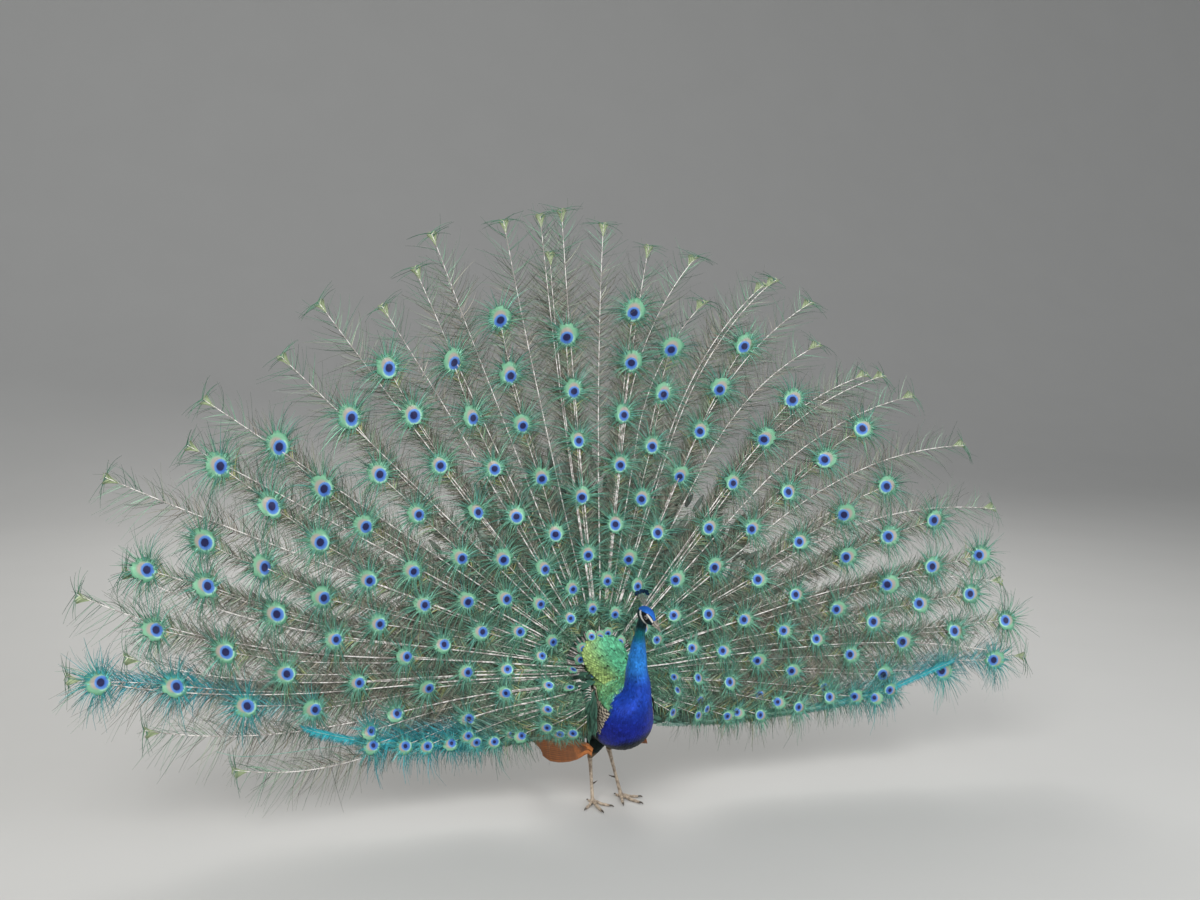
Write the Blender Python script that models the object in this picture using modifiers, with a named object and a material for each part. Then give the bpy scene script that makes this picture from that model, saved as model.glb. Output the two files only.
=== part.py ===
# A peacock standing with its train raised and spread: closed solids, life size.
# Metres, +Z up. The bird faces -Y, so +X is its left side.
import math

import bmesh
import bpy
from mathutils import Vector

NAME = "peacock"
ROOT_SHIFT = (-0.00605, -0.04220, 0.0)   # moves the whole bird so that its box is centred
GAP = 0.0004                        # clearance left at every cut
RING_SIDES = 18

HEAD_CENTRE = Vector((0.030, -0.172, 0.608))
HEAD_TURN = math.radians(26)        # towards the bird's left
HEAD_DIP = math.radians(28)
EYE_RADIUS = 0.0062
EYE_PLACE = (0.0089, 0.0127, 0.0047)    # ahead, aside and above the head's middle
BILL_LENGTH = 0.032
CREST_ROOT = (-0.0200, 0.0185)      # ahead and above the head's middle
CREST_LEAN = math.radians(49)       # back from the head's own upright
CREST_SPREAD = 66.0
CREST_LENGTH = 0.046

FAN_PIVOT = Vector((0.0, 0.0965, 0.39))
FAN_LEAN = math.radians(8.5)        # backwards, from upright
FAN_CUP = 0.055                     # forward curl, per metre
FAN_SWIRL = 3.0                     # degrees that the longest tips sweep sideways
FAN_WRAP = 0.15                     # how far the lowest vanes come forward round the flanks
VANE_THICKNESS = 0.0010
LONG_FEATHERS = 31
LONG_STEP = 6.7                     # degrees between two long feathers
SECTOR_SLOTS = (2, 3, 3, 3, 3, 3, 3, 3, 3, 3, 2)
FAN_INNER = 0.05

TAIL_PIVOT = Vector((0.0, 0.137, 0.362))
TAIL_LEAN = math.radians(10)
TAIL_LENGTH = 0.43
TAIL_FEATHERS = 20

WING_THICKNESS = 0.006
QUILL_THICKNESS = 0.003

TOE_RADIUS = 0.0043
CLAW_LENGTH = 0.014
# turn from straight ahead, length, girth and name of each toe
TOES = (
    (0.0, 0.070, 1.05, "mid"),
    (44.0, 0.052, 0.95, "inner"),
    (-46.0, 0.054, 0.95, "outer"),
    (168.0, 0.022, 0.8, "rear"),
)

# back (y, z), front (y, z), half width, middle x of each ring from the rump to the breast
TRUNK_RINGS = (
    ((0.168, 0.366), (0.168, 0.350), 0.012, 0.000),
    ((0.145, 0.392), (0.150, 0.315), 0.045, 0.000),
    ((0.105, 0.408), (0.115, 0.270), 0.070, 0.000),
    ((0.050, 0.414), (0.060, 0.228), 0.087, 0.000),
    ((-0.005, 0.410), (-0.010, 0.202), 0.093, 0.000),
    ((-0.040, 0.402), (-0.070, 0.194), 0.092, 0.000),
    ((-0.058, 0.398), (-0.120, 0.205), 0.087, 0.002),
    ((-0.066, 0.392), (-0.160, 0.232), 0.081, 0.005),
    ((-0.070, 0.390), (-0.186, 0.275), 0.0705, 0.0055),
)
NECK_RINGS = (
    ((-0.070, 0.390), (-0.186, 0.275), 0.0705, 0.0055),
    ((-0.072, 0.394), (-0.195, 0.320), 0.0585, 0.0105),
    ((-0.074, 0.404), (-0.193, 0.360), 0.0410, 0.0230),
    ((-0.081, 0.425), (-0.183, 0.400), 0.0345, 0.0262),
    ((-0.095, 0.454), (-0.171, 0.441), 0.0295, 0.0232),
    ((-0.109, 0.489), (-0.165, 0.481), 0.0255, 0.0222),
    ((-0.122, 0.526), (-0.165, 0.520), 0.0200, 0.0208),
    ((-0.132, 0.556), (-0.169, 0.550), 0.0152, 0.0205),
    ((-0.138, 0.582), (-0.175, 0.576), 0.0142, 0.0220),
    ((-0.147, 0.600), (-0.176, 0.594), 0.0130, 0.0226),
)
# distance ahead of the head's middle, half width, top, bottom
HEAD_RINGS = (
    (-0.0315, 0.0047, 0.0063, -0.0053),
    (-0.0278, 0.0115, 0.0142, -0.0131),
    (-0.0189, 0.0168, 0.0210, -0.0210),
    (-0.0063, 0.0187, 0.0248, -0.0239),
    (0.0063, 0.0181, 0.0244, -0.0215),
    (0.0168, 0.0152, 0.0199, -0.0168),
    (0.0252, 0.0113, 0.0137, -0.0128),
    (0.0326, 0.0079, 0.0084, -0.0097),
)

parts = bpy.data.collections.new(NAME)
cutters = bpy.data.collections.new("cutters")


def start_clean():
    for item in list(bpy.data.objects):
        bpy.data.objects.remove(item)
    bpy.context.scene.collection.children.link(parts)
    bpy.context.scene.collection.children.link(cutters)
    empty = bpy.data.objects.new(NAME + "_root", None)
    empty.location = ROOT_SHIFT
    parts.objects.link(empty)
    return empty


def paint(name, colour, roughness, metallic=0.0):
    coat = bpy.data.materials.new(name)
    coat.use_nodes = True
    shader = coat.node_tree.nodes["Principled BSDF"]
    shader.inputs["Base Color"].default_value = (*colour, 1.0)
    shader.inputs["Roughness"].default_value = roughness
    shader.inputs["Metallic"].default_value = metallic
    return coat


def smooth_step(value, low, high):
    t = min(1.0, max(0.0, (value - low) / (high - low)))
    return t * t * (3.0 - 2.0 * t)


def mix(a, b, t):
    return a + (b - a) * t


def along(values, t):
    """Value at t, from 0 to 1, on a row of evenly spaced values, which it also extends."""
    place = t * (len(values) - 1)
    low = min(len(values) - 2, max(0, int(math.floor(place))))
    return mix(values[low], values[low + 1], place - low)


def add_part(name, mesh, coat, root, angle=50):
    mesh.materials.clear()
    mesh.materials.append(coat)
    mesh.shade_smooth()
    mesh.set_sharp_from_angle(angle=math.radians(angle))
    item = bpy.data.objects.new(name, mesh)
    item.parent = root
    parts.objects.link(item)
    return item


def add_cutter(name, mesh, root):
    item = bpy.data.objects.new(name, mesh)
    item.parent = root
    item.hide_render = True
    item.display_type = "WIRE"
    cutters.objects.link(item)
    return item


def boolean(item, other, operation="DIFFERENCE"):
    step = item.modifiers.new(operation.title() + " " + other.name, "BOOLEAN")
    step.operation = operation
    step.solver = "EXACT"
    step.object = other


def finish_mesh(name, bm):
    bmesh.ops.recalc_face_normals(bm, faces=bm.faces)
    mesh = bpy.data.meshes.new(name)
    bm.to_mesh(mesh)
    bm.free()
    return mesh


def loft(name, rings):
    """Closed skin through rings of points, flat at both ends."""
    bm = bmesh.new()
    rows = [[bm.verts.new(point) for point in ring] for ring in rings]
    for low, high in zip(rows, rows[1:]):
        for i in range(len(low)):
            j = (i + 1) % len(low)
            bm.faces.new((low[i], low[j], high[j], high[i]))
    bmesh.ops.triangulate(bm, faces=bm.faces, quad_method="FIXED")
    bm.faces.new(list(reversed(rows[0])))
    bm.faces.new(rows[-1])
    return finish_mesh(name, bm)


def sheet(name, columns, rows, place, thickness, reach=0.0, offset=0.0):
    """Grid laid on place(u, v) for u and v from 0 to 1, then thickened. reach widens it."""
    bm = bmesh.new()
    bmesh.ops.create_grid(bm, x_segments=columns, y_segments=rows, size=0.5)
    for vert in bm.verts:
        u = (vert.co.x + 0.5) * (1.0 + 2.0 * reach) - reach
        v = (vert.co.y + 0.5) * (1.0 + 2.0 * reach) - reach
        vert.co = place(u, v)
    return thicken(name, bm, thickness, offset)


def thicken(name, bm, thickness, offset=0.0):
    """Closed plate of an open surface, made with the Solidify modifier."""
    bmesh.ops.recalc_face_normals(bm, faces=bm.faces)
    mesh = bpy.data.meshes.new(name + "_open")
    bm.to_mesh(mesh)
    bm.free()
    holder = bpy.data.objects.new(name + "_open", mesh)
    parts.objects.link(holder)
    solid = holder.modifiers.new("Solidify", "SOLIDIFY")
    solid.thickness = thickness
    solid.offset = offset
    solid.use_even_offset = True
    graph = bpy.context.evaluated_depsgraph_get()
    closed = bpy.data.meshes.new_from_object(holder.evaluated_get(graph))
    closed.name = name
    bpy.data.objects.remove(holder)
    bpy.data.meshes.remove(mesh)
    return closed


def tube(name, points, radii, resolution=2):
    """Tapered tube on a curve, with filled and welded caps."""
    curve = bpy.data.curves.new(name + "_curve", "CURVE")
    curve.dimensions = "3D"
    curve.bevel_depth = 1.0
    curve.bevel_resolution = resolution
    curve.use_fill_caps = True
    spline = curve.splines.new("POLY")
    spline.points.add(len(points) - 1)
    for knot, point, radius in zip(spline.points, points, radii):
        knot.co = (*point, 1.0)
        knot.radius = radius
    holder = bpy.data.objects.new(name + "_curve", curve)
    parts.objects.link(holder)
    graph = bpy.context.evaluated_depsgraph_get()
    mesh = bpy.data.meshes.new_from_object(holder.evaluated_get(graph))
    mesh.name = name
    bpy.data.objects.remove(holder)
    bm = bmesh.new()
    bm.from_mesh(mesh)
    bmesh.ops.remove_doubles(bm, verts=bm.verts, dist=0.00002)
    bmesh.ops.recalc_face_normals(bm, faces=bm.faces)
    bm.to_mesh(mesh)
    bm.free()
    return mesh


def ball(name, centre, radii, segments=16, rows=10):
    bm = bmesh.new()
    bmesh.ops.create_uvsphere(bm, u_segments=segments, v_segments=rows, radius=1.0)
    for vert in bm.verts:
        vert.co = Vector((vert.co.x * radii[0], vert.co.y * radii[1], vert.co.z * radii[2])) + centre
    return finish_mesh(name, bm)


def body_ring(back, front, half_width, middle, grow=0.0):
    top = Vector((middle, back[0], back[1]))
    bottom = Vector((middle, front[0], front[1]))
    centre = (top + bottom) / 2
    reach = (top - bottom) / 2
    reach = reach * (1.0 + grow / reach.length)
    side = Vector((half_width + grow, 0.0, 0.0))
    turns = [math.tau * i / RING_SIDES for i in range(RING_SIDES)]
    return [centre + reach * math.cos(a) + side * math.sin(a) for a in turns]


def make_trunk_and_neck(root, blue, dark):
    trunk = add_part("trunk", loft("trunk", [body_ring(*row) for row in TRUNK_RINGS]), dark, root, 60)
    rings = [body_ring(*row) for row in NECK_RINGS]
    rings[0] = [point + Vector((0.0, -0.6, 0.8)) * GAP for point in rings[0]]
    neck = add_part("neck", loft("neck", rings), blue, root, 60)
    grown = [body_ring(*row, grow=GAP) for row in TRUNK_RINGS + NECK_RINGS[1:]]
    grown.insert(0, [point + Vector((0.0, GAP, 0.0)) for point in grown[0]])
    return trunk, neck, add_cutter("body_cutter", loft("body_cutter", grown), root)


def head_axes():
    ahead = Vector((
        math.sin(HEAD_TURN) * math.cos(HEAD_DIP),
        -math.cos(HEAD_TURN) * math.cos(HEAD_DIP),
        -math.sin(HEAD_DIP),
    ))
    side = ahead.cross(Vector((0.0, 0.0, 1.0))).normalized()      # the bird's right
    return ahead, side, side.cross(ahead)


def head_point(forward, sideways, up):
    ahead, side, above = head_axes()
    return HEAD_CENTRE + ahead * forward + side * sideways + above * up


def head_rings(grow=0.0):
    rings = []
    for forward, half_width, top, bottom in HEAD_RINGS:
        middle = (top + bottom) / 2
        reach = (top - bottom) / 2 + grow
        ring = []
        for i in range(RING_SIDES):
            turn = math.tau * i / RING_SIDES
            sideways = (half_width + grow) * math.sin(turn)
            ring.append(head_point(forward, sideways, middle + reach * math.cos(turn)))
        rings.append(ring)
    return rings


def make_head(root, neck, blue, horn, glass):
    head = add_part("head", loft("head", head_rings()), blue, root, 60)
    head_cutter = add_cutter("head_cutter", loft("head_cutter", head_rings(GAP)), root)
    boolean(neck, head_cutter)
    for side, name in ((1, "right"), (-1, "left")):
        centre = head_point(EYE_PLACE[0], side * EYE_PLACE[1], EYE_PLACE[2])
        add_part("eye_" + name, ball("eye_" + name, centre, [EYE_RADIUS] * 3, 12, 8), glass, root, 60)
        socket = ball("socket_" + name, centre, [EYE_RADIUS + GAP] * 3, 12, 8)
        boolean(head, add_cutter("socket_" + name, socket, root))
    add_part("bill_upper", loft("bill_upper", bill_rings(upper=True)), horn, root, 60)
    add_part("bill_lower", loft("bill_lower", bill_rings(upper=False)), horn, root, 60)
    return head_cutter


def bill_rings(upper):
    start = HEAD_RINGS[-1][0] + GAP
    ridge = (0.0078, 0.0075, 0.0060, 0.0030, -0.0016, -0.0072)
    edge = (-0.0006, -0.0010, -0.0016, -0.0030, -0.0056, -0.0086)
    keel = (-0.0088, -0.0082, -0.0075, -0.0068, -0.0064)
    widths = (0.0070, 0.0062, 0.0051, 0.0038, 0.0024, 0.0008)
    length = BILL_LENGTH if upper else BILL_LENGTH * 0.80
    count = 6 if upper else 5
    rings = []
    for row in range(count):
        forward = start + length * row / (count - 1)
        share = 1.0 if upper else 0.86
        if upper:
            top, bottom = ridge[row], edge[row]
        else:
            top, bottom = edge[row] - GAP, keel[row]
        ring = []
        for i in range(10):
            turn = math.tau * i / 10
            half = (top - bottom) / 2
            sideways = widths[row] * share * math.sin(turn)
            ring.append(head_point(forward, sideways, bottom + half + half * math.cos(turn)))
        rings.append(ring)
    return rings


def make_crest(root, green, head_cutter):
    """Fan of bare shafts with spatula tips, standing in the head's middle plane."""
    count, half = 9, 0.0007
    outline = []
    for i in range(count):
        turn = math.radians(CREST_SPREAD * (i / (count - 1) - 0.5))
        reach = CREST_LENGTH * (1.0 - 0.06 * abs(i - (count - 1) / 2) / (count / 2))
        for radius, half_width in (
            (0.010, -0.0004), (reach - 0.013, -0.0006), (reach - 0.006, -0.0028), (reach, -0.0016),
            (reach, 0.0016), (reach - 0.006, 0.0028), (reach - 0.013, 0.0006), (0.010, 0.0004),
        ):
            outline.append((radius * math.sin(turn) + half_width * math.cos(turn),
                            radius * math.cos(turn) - half_width * math.sin(turn)))
    outline += [(0.0030, -0.004), (-0.0030, -0.004)]
    curve = bpy.data.curves.new("crest_outline", "CURVE")
    curve.dimensions = "2D"
    curve.fill_mode = "BOTH"
    curve.extrude = half
    spline = curve.splines.new("POLY")
    spline.use_cyclic_u = True
    spline.points.add(len(outline) - 1)
    for knot, (x, y) in zip(spline.points, outline):
        knot.co = (x, y, 0.0, 1.0)
    holder = bpy.data.objects.new("crest_outline", curve)
    parts.objects.link(holder)
    graph = bpy.context.evaluated_depsgraph_get()
    mesh = bpy.data.meshes.new_from_object(holder.evaluated_get(graph))
    mesh.name = "crest"
    bpy.data.objects.remove(holder)
    bm = bmesh.new()
    bm.from_mesh(mesh)
    bmesh.ops.remove_doubles(bm, verts=bm.verts, dist=0.00002)
    for vert in bm.verts:
        back = vert.co.x * math.cos(CREST_LEAN) + vert.co.y * math.sin(CREST_LEAN)
        rise = vert.co.y * math.cos(CREST_LEAN) - vert.co.x * math.sin(CREST_LEAN)
        vert.co = head_point(CREST_ROOT[0] - back, vert.co.z, CREST_ROOT[1] + rise)
    crest = add_part("crest", finish_mesh("crest", bm), green, root, 30)
    boolean(crest, head_cutter)


def fan_surface(pivot, lean, cup, degrees, radius):
    turn = math.radians(degrees)
    up = Vector((0.0, math.sin(lean), math.cos(lean)))
    forward = Vector((0.0, -math.cos(lean), math.sin(lean)))
    side = Vector((1.0, 0.0, 0.0))
    spoke = side * math.sin(turn) + up * math.cos(turn)
    return pivot + spoke * radius + forward * (cup * radius * radius)


def fan_point(degrees, radius):
    """Point of the raised train at an angle from upright and a distance from its pivot."""
    sweep = FAN_SWIRL * smooth_step(radius, 0.8, 1.4) * min(1.0, abs(degrees) / 25.0)
    sweep *= 1.0 - smooth_step(degrees, 55.0, 85.0)
    point = fan_surface(FAN_PIVOT, FAN_LEAN, FAN_CUP, degrees + sweep, radius)
    wrap = FAN_WRAP * smooth_step(abs(degrees), 70.0, 122.0) * math.exp(-((radius - 0.10) / 0.20) ** 2)
    point.y -= wrap
    return point


def rim_height(x):
    return 0.19 + 0.31 * max(0.0, abs(x) - 0.70)


def rim_radius(degrees):
    """Distance from the pivot to the train's lower edge."""
    low, high = 0.05, 1.6
    for _ in range(30):
        middle = (low + high) / 2
        point = fan_surface(FAN_PIVOT, FAN_LEAN, FAN_CUP, degrees, middle)
        if point.z > rim_height(point.x):
            low = middle
        else:
            high = middle
    return low


def eye_radius(degrees):
    """Distance from the pivot to the outermost eyespots."""
    return 1.05 * (1.0 + 0.27 * (degrees / 85.0) ** 2)


def web_radius(degrees):
    edge = 0.98 * eye_radius(degrees)
    if abs(degrees) > 85.0:
        edge = min(edge, rim_radius(degrees))
    return edge


def long_feather_radius(index):
    degrees = abs(LONG_STEP * index)
    radius = 1.34 - 0.05 * math.exp(-((degrees - 36.0) / 14.0) ** 2)
    radius += 0.14 * smooth_step(degrees, 48.0, 70.0) - 0.40 * smooth_step(degrees, 88.0, 102.0)
    if index == LONG_FEATHERS // 2:
        return 0.0                  # the lowest one on the left side is missing
    return radius - 0.05 * (index % 2)


def inner_radius(degrees):
    """Where the vanes start: close over the rump, and clear of the wings at the sides."""
    if abs(degrees) > 97.0:
        return 0.110 / math.sin(math.radians(abs(degrees)))
    side = mix(0.075, 0.1108, smooth_step(abs(degrees), 86.0, 97.0))
    return mix(FAN_INNER, side, smooth_step(abs(degrees), 55.0, 80.0))


def near_outer_eye(degrees):
    columns = (-84, -75, -62, -36, -16, 7, 25, 48, 61, 78, 86)
    return min(abs(degrees - column) for column in columns) < LONG_STEP / 2


def add_slot(bm, index, first, last):
    """One long feather with the web of shorter feathers on both sides of it."""
    middle = index * LONG_STEP
    tip = long_feather_radius(index)
    edge = web_radius(middle)
    strip = math.degrees(0.012 / edge)
    half_step = LONG_STEP / 2
    columns = [middle + offset for offset in (-half_step, -1.9, -strip, strip, 1.9, half_step)]
    grid = []
    for place, degrees in enumerate(columns):
        outer = web_radius(degrees)
        if place in (0, 5) and near_outer_eye(degrees):
            outer += 0.07
        column = []
        for share in (0.0, 0.5, 1.0):
            radius = mix(inner_radius(degrees), outer, share)
            shift = 0.0
            if place == 0 and first:
                shift = math.degrees(GAP / radius)
            if place == 5 and last:
                shift = -math.degrees(GAP / radius)
            column.append(bm.verts.new(fan_point(degrees + shift, radius)))
        grid.append(column)
    for left, right in zip(grid, grid[1:]):
        for row in range(2):
            bm.faces.new((left[row], right[row], right[row + 1], left[row + 1]))
    if tip < edge:
        return
    low_left, low_right = grid[2][2], grid[3][2]
    spans = ((0.15, 0.012), (0.085, 0.024), (0.045, 0.048), (0.018, 0.064))
    for distance, half in spans:
        radius = tip - distance
        if radius < edge + 0.01:
            continue
        lean = math.degrees(half / radius)
        high_left = bm.verts.new(fan_point(middle - lean, radius))
        high_right = bm.verts.new(fan_point(middle + lean, radius))
        bm.faces.new((low_left, low_right, high_right, high_left))
        low_left, low_right = high_left, high_right
    lean = math.degrees(0.058 / tip)
    left = bm.verts.new(fan_point(middle - lean, tip))
    notch = bm.verts.new(fan_point(middle, tip - 0.016))
    right = bm.verts.new(fan_point(middle + lean, tip))
    bm.faces.new((low_left, notch, left))
    bm.faces.new((low_left, low_right, notch))
    bm.faces.new((low_right, right, notch))


def make_train(root, green, cutters_near_body):
    index = -(LONG_FEATHERS // 2)
    for sector, slots in enumerate(SECTOR_SLOTS):
        bm = bmesh.new()
        for slot in range(slots):
            add_slot(bm, index, slot == 0, slot == slots - 1)
            index += 1
        bmesh.ops.remove_doubles(bm, verts=bm.verts, dist=0.00005)
        name = "train_%02d" % (sector + 1)
        item = add_part(name, thicken(name, bm, VANE_THICKNESS), green, root, 20)
        if sector < 3 or sector > 7:
            for cutter in cutters_near_body:
                boolean(item, cutter)
    start = LONG_STEP * LONG_FEATHERS / 2
    for side, name in ((-1, "train_rim_right"), (1, "train_rim_left")):
        def place(u, v, side=side):
            degrees = side * mix(start, 149.0, u)
            radius = mix(inner_radius(degrees), rim_radius(degrees), v)
            return fan_point(degrees + side * math.degrees(2 * GAP / radius), radius)
        item = add_part(name, sheet(name, 12, 3, place, VANE_THICKNESS), green, root, 20)
        for cutter in cutters_near_body:
            boolean(item, cutter)


def wing_x(y, z):
    """How far out the folded wing lies, hugging the trunk's side."""
    reach = along((0.086, 0.098, 0.101, 0.100, 0.096, 0.092), (y + 0.115) / 0.315)
    height = 0.118 if z > 0.305 else 0.17
    return reach * math.sqrt(max(0.05, 1.0 - ((z - 0.305) / height) ** 2))


def wing_place(side):
    top = (0.345, 0.378, 0.386, 0.384, 0.374, 0.354, 0.325, 0.290)
    low = (0.310, 0.252, 0.225, 0.212, 0.206, 0.204, 0.212, 0.240)

    def place(u, v):
        y = mix(-0.115, 0.205, u)
        z = mix(along(top, u), along(low, u), v)
        return Vector((side * wing_x(y, z), y, z))
    return place


def quill_place(side):
    top = (0.216, 0.208, 0.200, 0.190, 0.172, 0.150, 0.120)
    low = (0.200, 0.155, 0.124, 0.102, 0.090, 0.082, 0.092)

    def place(u, v):
        y = mix(-0.090, 0.305, u)
        z = mix(along(top, u), along(low, u), v)
        x = mix(0.088, 0.114, u) + 0.05 * (z - 0.15)
        return Vector((side * x, y, z))
    return place


def make_wings(root, barred, chestnut, body_cutter):
    """Folded, slightly drooping wings: the covert plate and the long flight feathers."""
    near_body = [body_cutter]
    for side, name in ((-1, "right"), (1, "left")):
        place = wing_place(side)
        coverts = sheet("wing_" + name, 10, 5, place, WING_THICKNESS)
        wing = add_part("wing_" + name, coverts, barred, root, 60)
        boolean(wing, body_cutter)
        grown = sheet("wing_cutter_" + name, 10, 5, place, WING_THICKNESS + 4 * GAP, reach=0.012)
        wing_cutter = add_cutter("wing_cutter_" + name, grown, root)
        place = quill_place(side)
        quills = sheet("primaries_" + name, 12, 3, place, QUILL_THICKNESS)
        item = add_part("primaries_" + name, quills, chestnut, root, 60)
        boolean(item, body_cutter)
        boolean(item, wing_cutter)
        grown = sheet("quill_cutter_" + name, 12, 3, place, QUILL_THICKNESS + 4 * GAP, reach=0.012)
        quill_cutter = add_cutter("quill_cutter_" + name, grown, root)
        near_body += [wing_cutter, quill_cutter]
    return near_body


def make_mantle(root, gold, body_cutter):
    """Scaled back feathers that rise like a rounded shield before the train's base."""
    line_y = (-0.062, -0.030, 0.004, 0.034, 0.056, 0.070, 0.078)
    line_z = (0.402, 0.416, 0.430, 0.446, 0.464, 0.482, 0.498)
    widths = (0.042, 0.057, 0.066, 0.069, 0.068, 0.057, 0.024)

    def place(u, v):
        across = (u - 0.5) * 2.0
        x = across * along(widths, v)
        drop = mix(5.0, 1.2, v) * x * x
        return Vector((x, along(line_y, v) + 1.5 * x * x * v, along(line_z, v) - drop))

    mantle = add_part("mantle", sheet("mantle", 8, 7, place, 0.007), gold, root, 60)
    boolean(mantle, body_cutter)


def make_tail(root, brown, body_cutter):
    """Stiff tail fan that props the train from behind."""
    half_spread = 78.0

    def place(u, v):
        degrees = mix(-half_spread, half_spread, u)
        wave = abs(math.sin(math.pi * u * TAIL_FEATHERS))
        radius = mix(0.045, TAIL_LENGTH - 0.018 + 0.018 * wave, v)
        return fan_surface(TAIL_PIVOT, TAIL_LEAN, 0.05, degrees, radius)

    tail = add_part("tail", sheet("tail", TAIL_FEATHERS * 2, 1, place, 0.0015), brown, root, 20)
    boolean(tail, body_cutter)


def make_vent(root, grey, body_cutter):
    down = ball("vent", Vector((0.0, 0.160, 0.268)), (0.056, 0.052, 0.074), 12, 8)
    vent = add_part("vent", down, grey, root, 60)
    boolean(vent, body_cutter)


def make_leg(root, side, ankle, hub, heading, finishes, near_body):
    feathered, scaly, horn = finishes
    name = "right" if side < 0 else "left"
    ankle = Vector(ankle)
    hub = Vector(hub)
    hip = Vector((side * 0.040, -0.020, 0.262))
    knee = mix(hip, ankle, 0.45) + Vector((0.0, -0.012, 0.0))
    above = ankle + (knee - ankle).normalized() * 0.010
    points = [hip, mix(hip, knee, 0.6), knee, mix(knee, above, 0.6), above]
    radii = (0.034, 0.038, 0.032, 0.020, 0.0115)
    thigh = add_part("thigh_" + name, tube("thigh_" + name, points, radii, 3), feathered, root, 60)
    for cutter in near_body:
        boolean(thigh, cutter)
    points[-1] = points[-1] + (ankle - knee).normalized() * GAP
    thigh_cutter = tube("thigh_cutter_" + name, points, [r + GAP for r in radii], 3)
    thigh_cutter = add_cutter("thigh_cutter_" + name, thigh_cutter, root)

    line = [ankle + (knee - ankle).normalized() * 0.012, ankle]
    line += [mix(ankle, hub, share) for share in (0.12, 0.5, 0.9)]
    line.append(hub + Vector((0.0, 0.0, 0.001)))
    radii = (0.0068, 0.0078, 0.0060, 0.0048, 0.0053, 0.0066)
    shank = add_part("shank_" + name, tube("shank_" + name, line, radii), scaly, root, 60)
    boolean(shank, thigh_cutter)
    shank_cutter = tube("shank_cutter_" + name, line, [r + GAP for r in radii])
    shank_cutter = add_cutter("shank_cutter_" + name, shank_cutter, root)

    foot_name = "foot_" + name
    pad = ball(foot_name, hub + Vector((0, 0, -0.002)), (0.0088, 0.0088, 0.0078), 10, 6)
    foot = add_part(foot_name, pad, scaly, root, 60)
    for turn, length, girth, toe_name in TOES:
        angle = math.radians(heading + side * turn)
        way = Vector((math.sin(angle), -math.cos(angle), 0.0))
        radius = TOE_RADIUS * girth
        knots = []
        heights = (hub.z - 0.001, hub.z - 0.0015, radius * 1.12, radius - 0.0007, radius * 0.86)
        for share, height in zip((0.0, 0.25, 0.5, 0.78, 1.0), heights):
            point = hub + way * (length * share)
            point.z = height
            knots.append(point)
        swell = [radius * s for s in (1.15, 1.05, 1.0, 0.98, 0.86)]
        toe = tube("toe_" + toe_name, knots, swell, 1)
        toe = add_cutter("toe_%s_%s" % (toe_name, name), toe, root)
        boolean(foot, toe, "UNION")
        start = knots[-1] + way * (2 * GAP)
        size = 0.8 if toe_name == "rear" else 1.0
        claw = []
        for ahead, above in ((0.0, 0.0), (0.006, 0.0006), (0.011, -0.0004), (CLAW_LENGTH, -0.0020)):
            claw.append(start + way * (ahead * size) + Vector((0, 0, above)))
        claw_radii = [radius * s for s in (0.66, 0.56, 0.36, 0.12)]
        claw_name = "claw_%s_%s" % (toe_name, name)
        add_part(claw_name, tube(claw_name, claw, claw_radii, 1), horn, root, 60)
    boolean(foot, shank_cutter)
    bm = bmesh.new()
    bmesh.ops.create_cube(bm, size=0.4)
    for vert in bm.verts:
        vert.co = vert.co + Vector((0.0, 0.0, -0.2))
    boolean(foot, add_cutter("floor_" + name, finish_mesh("floor", bm), root))

    inward = Vector((-side, 0.45, 0.0)).normalized()
    base = mix(ankle, hub, 0.62) + inward * 0.0056
    line = []
    for ahead, above in ((0.0, 0.0), (0.006, 0.0006), (0.012, 0.0020), (0.018, 0.0042)):
        line.append(base + inward * ahead + Vector((0, 0, above)))
    spur = tube("spur_" + name, line, (0.0032, 0.0026, 0.0017, 0.0005), 1)
    spur = add_part("spur_" + name, spur, horn, root, 60)
    boolean(spur, shank_cutter)


def main():
    root = start_clean()
    blue = paint("breast_blue", (0.01, 0.05, 0.42), 0.35, 0.4)
    dark = paint("belly_black", (0.010, 0.020, 0.022), 0.6)
    horn = paint("horn", (0.24, 0.22, 0.19), 0.4)
    glass = paint("eye_brown", (0.020, 0.010, 0.006), 0.05)
    crest_blue = paint("crest_teal", (0.01, 0.09, 0.14), 0.4, 0.3)
    bronze = paint("train_green", (0.10, 0.17, 0.09), 0.45, 0.3)
    barred = paint("wing_barred", (0.32, 0.27, 0.20), 0.6)
    chestnut = paint("quill_chestnut", (0.36, 0.13, 0.045), 0.5)
    gold = paint("mantle_gold", (0.28, 0.42, 0.12), 0.35, 0.5)
    brown = paint("tail_brown", (0.10, 0.075, 0.055), 0.6)
    grey = paint("vent_grey", (0.16, 0.14, 0.12), 0.8)
    buff = paint("thigh_buff", (0.30, 0.22, 0.13), 0.7)
    scaly = paint("leg_horn", (0.45, 0.38, 0.30), 0.5)

    trunk, neck, body_cutter = make_trunk_and_neck(root, blue, dark)
    head_cutter = make_head(root, neck, blue, horn, glass)
    make_crest(root, crest_blue, head_cutter)
    near_body = [body_cutter] + make_wings(root, barred, chestnut, body_cutter)[1:]
    make_mantle(root, gold, body_cutter)
    make_train(root, bronze, near_body)
    make_tail(root, brown, body_cutter)
    make_vent(root, grey, body_cutter)
    finishes = (buff, scaly, horn)
    make_leg(root, -1, (-0.038, 0.055, 0.128), (-0.043, 0.008, 0.0095), 2.0, finishes, near_body[:3])
    beside_left = near_body[:1] + near_body[3:]
    make_leg(root, 1, (0.026, 0.068, 0.145), (0.056, 0.030, 0.0095), 31.0, finishes, beside_left)


main()
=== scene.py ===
import math

import bpy
import numpy as np
from mathutils import Matrix, Vector


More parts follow.
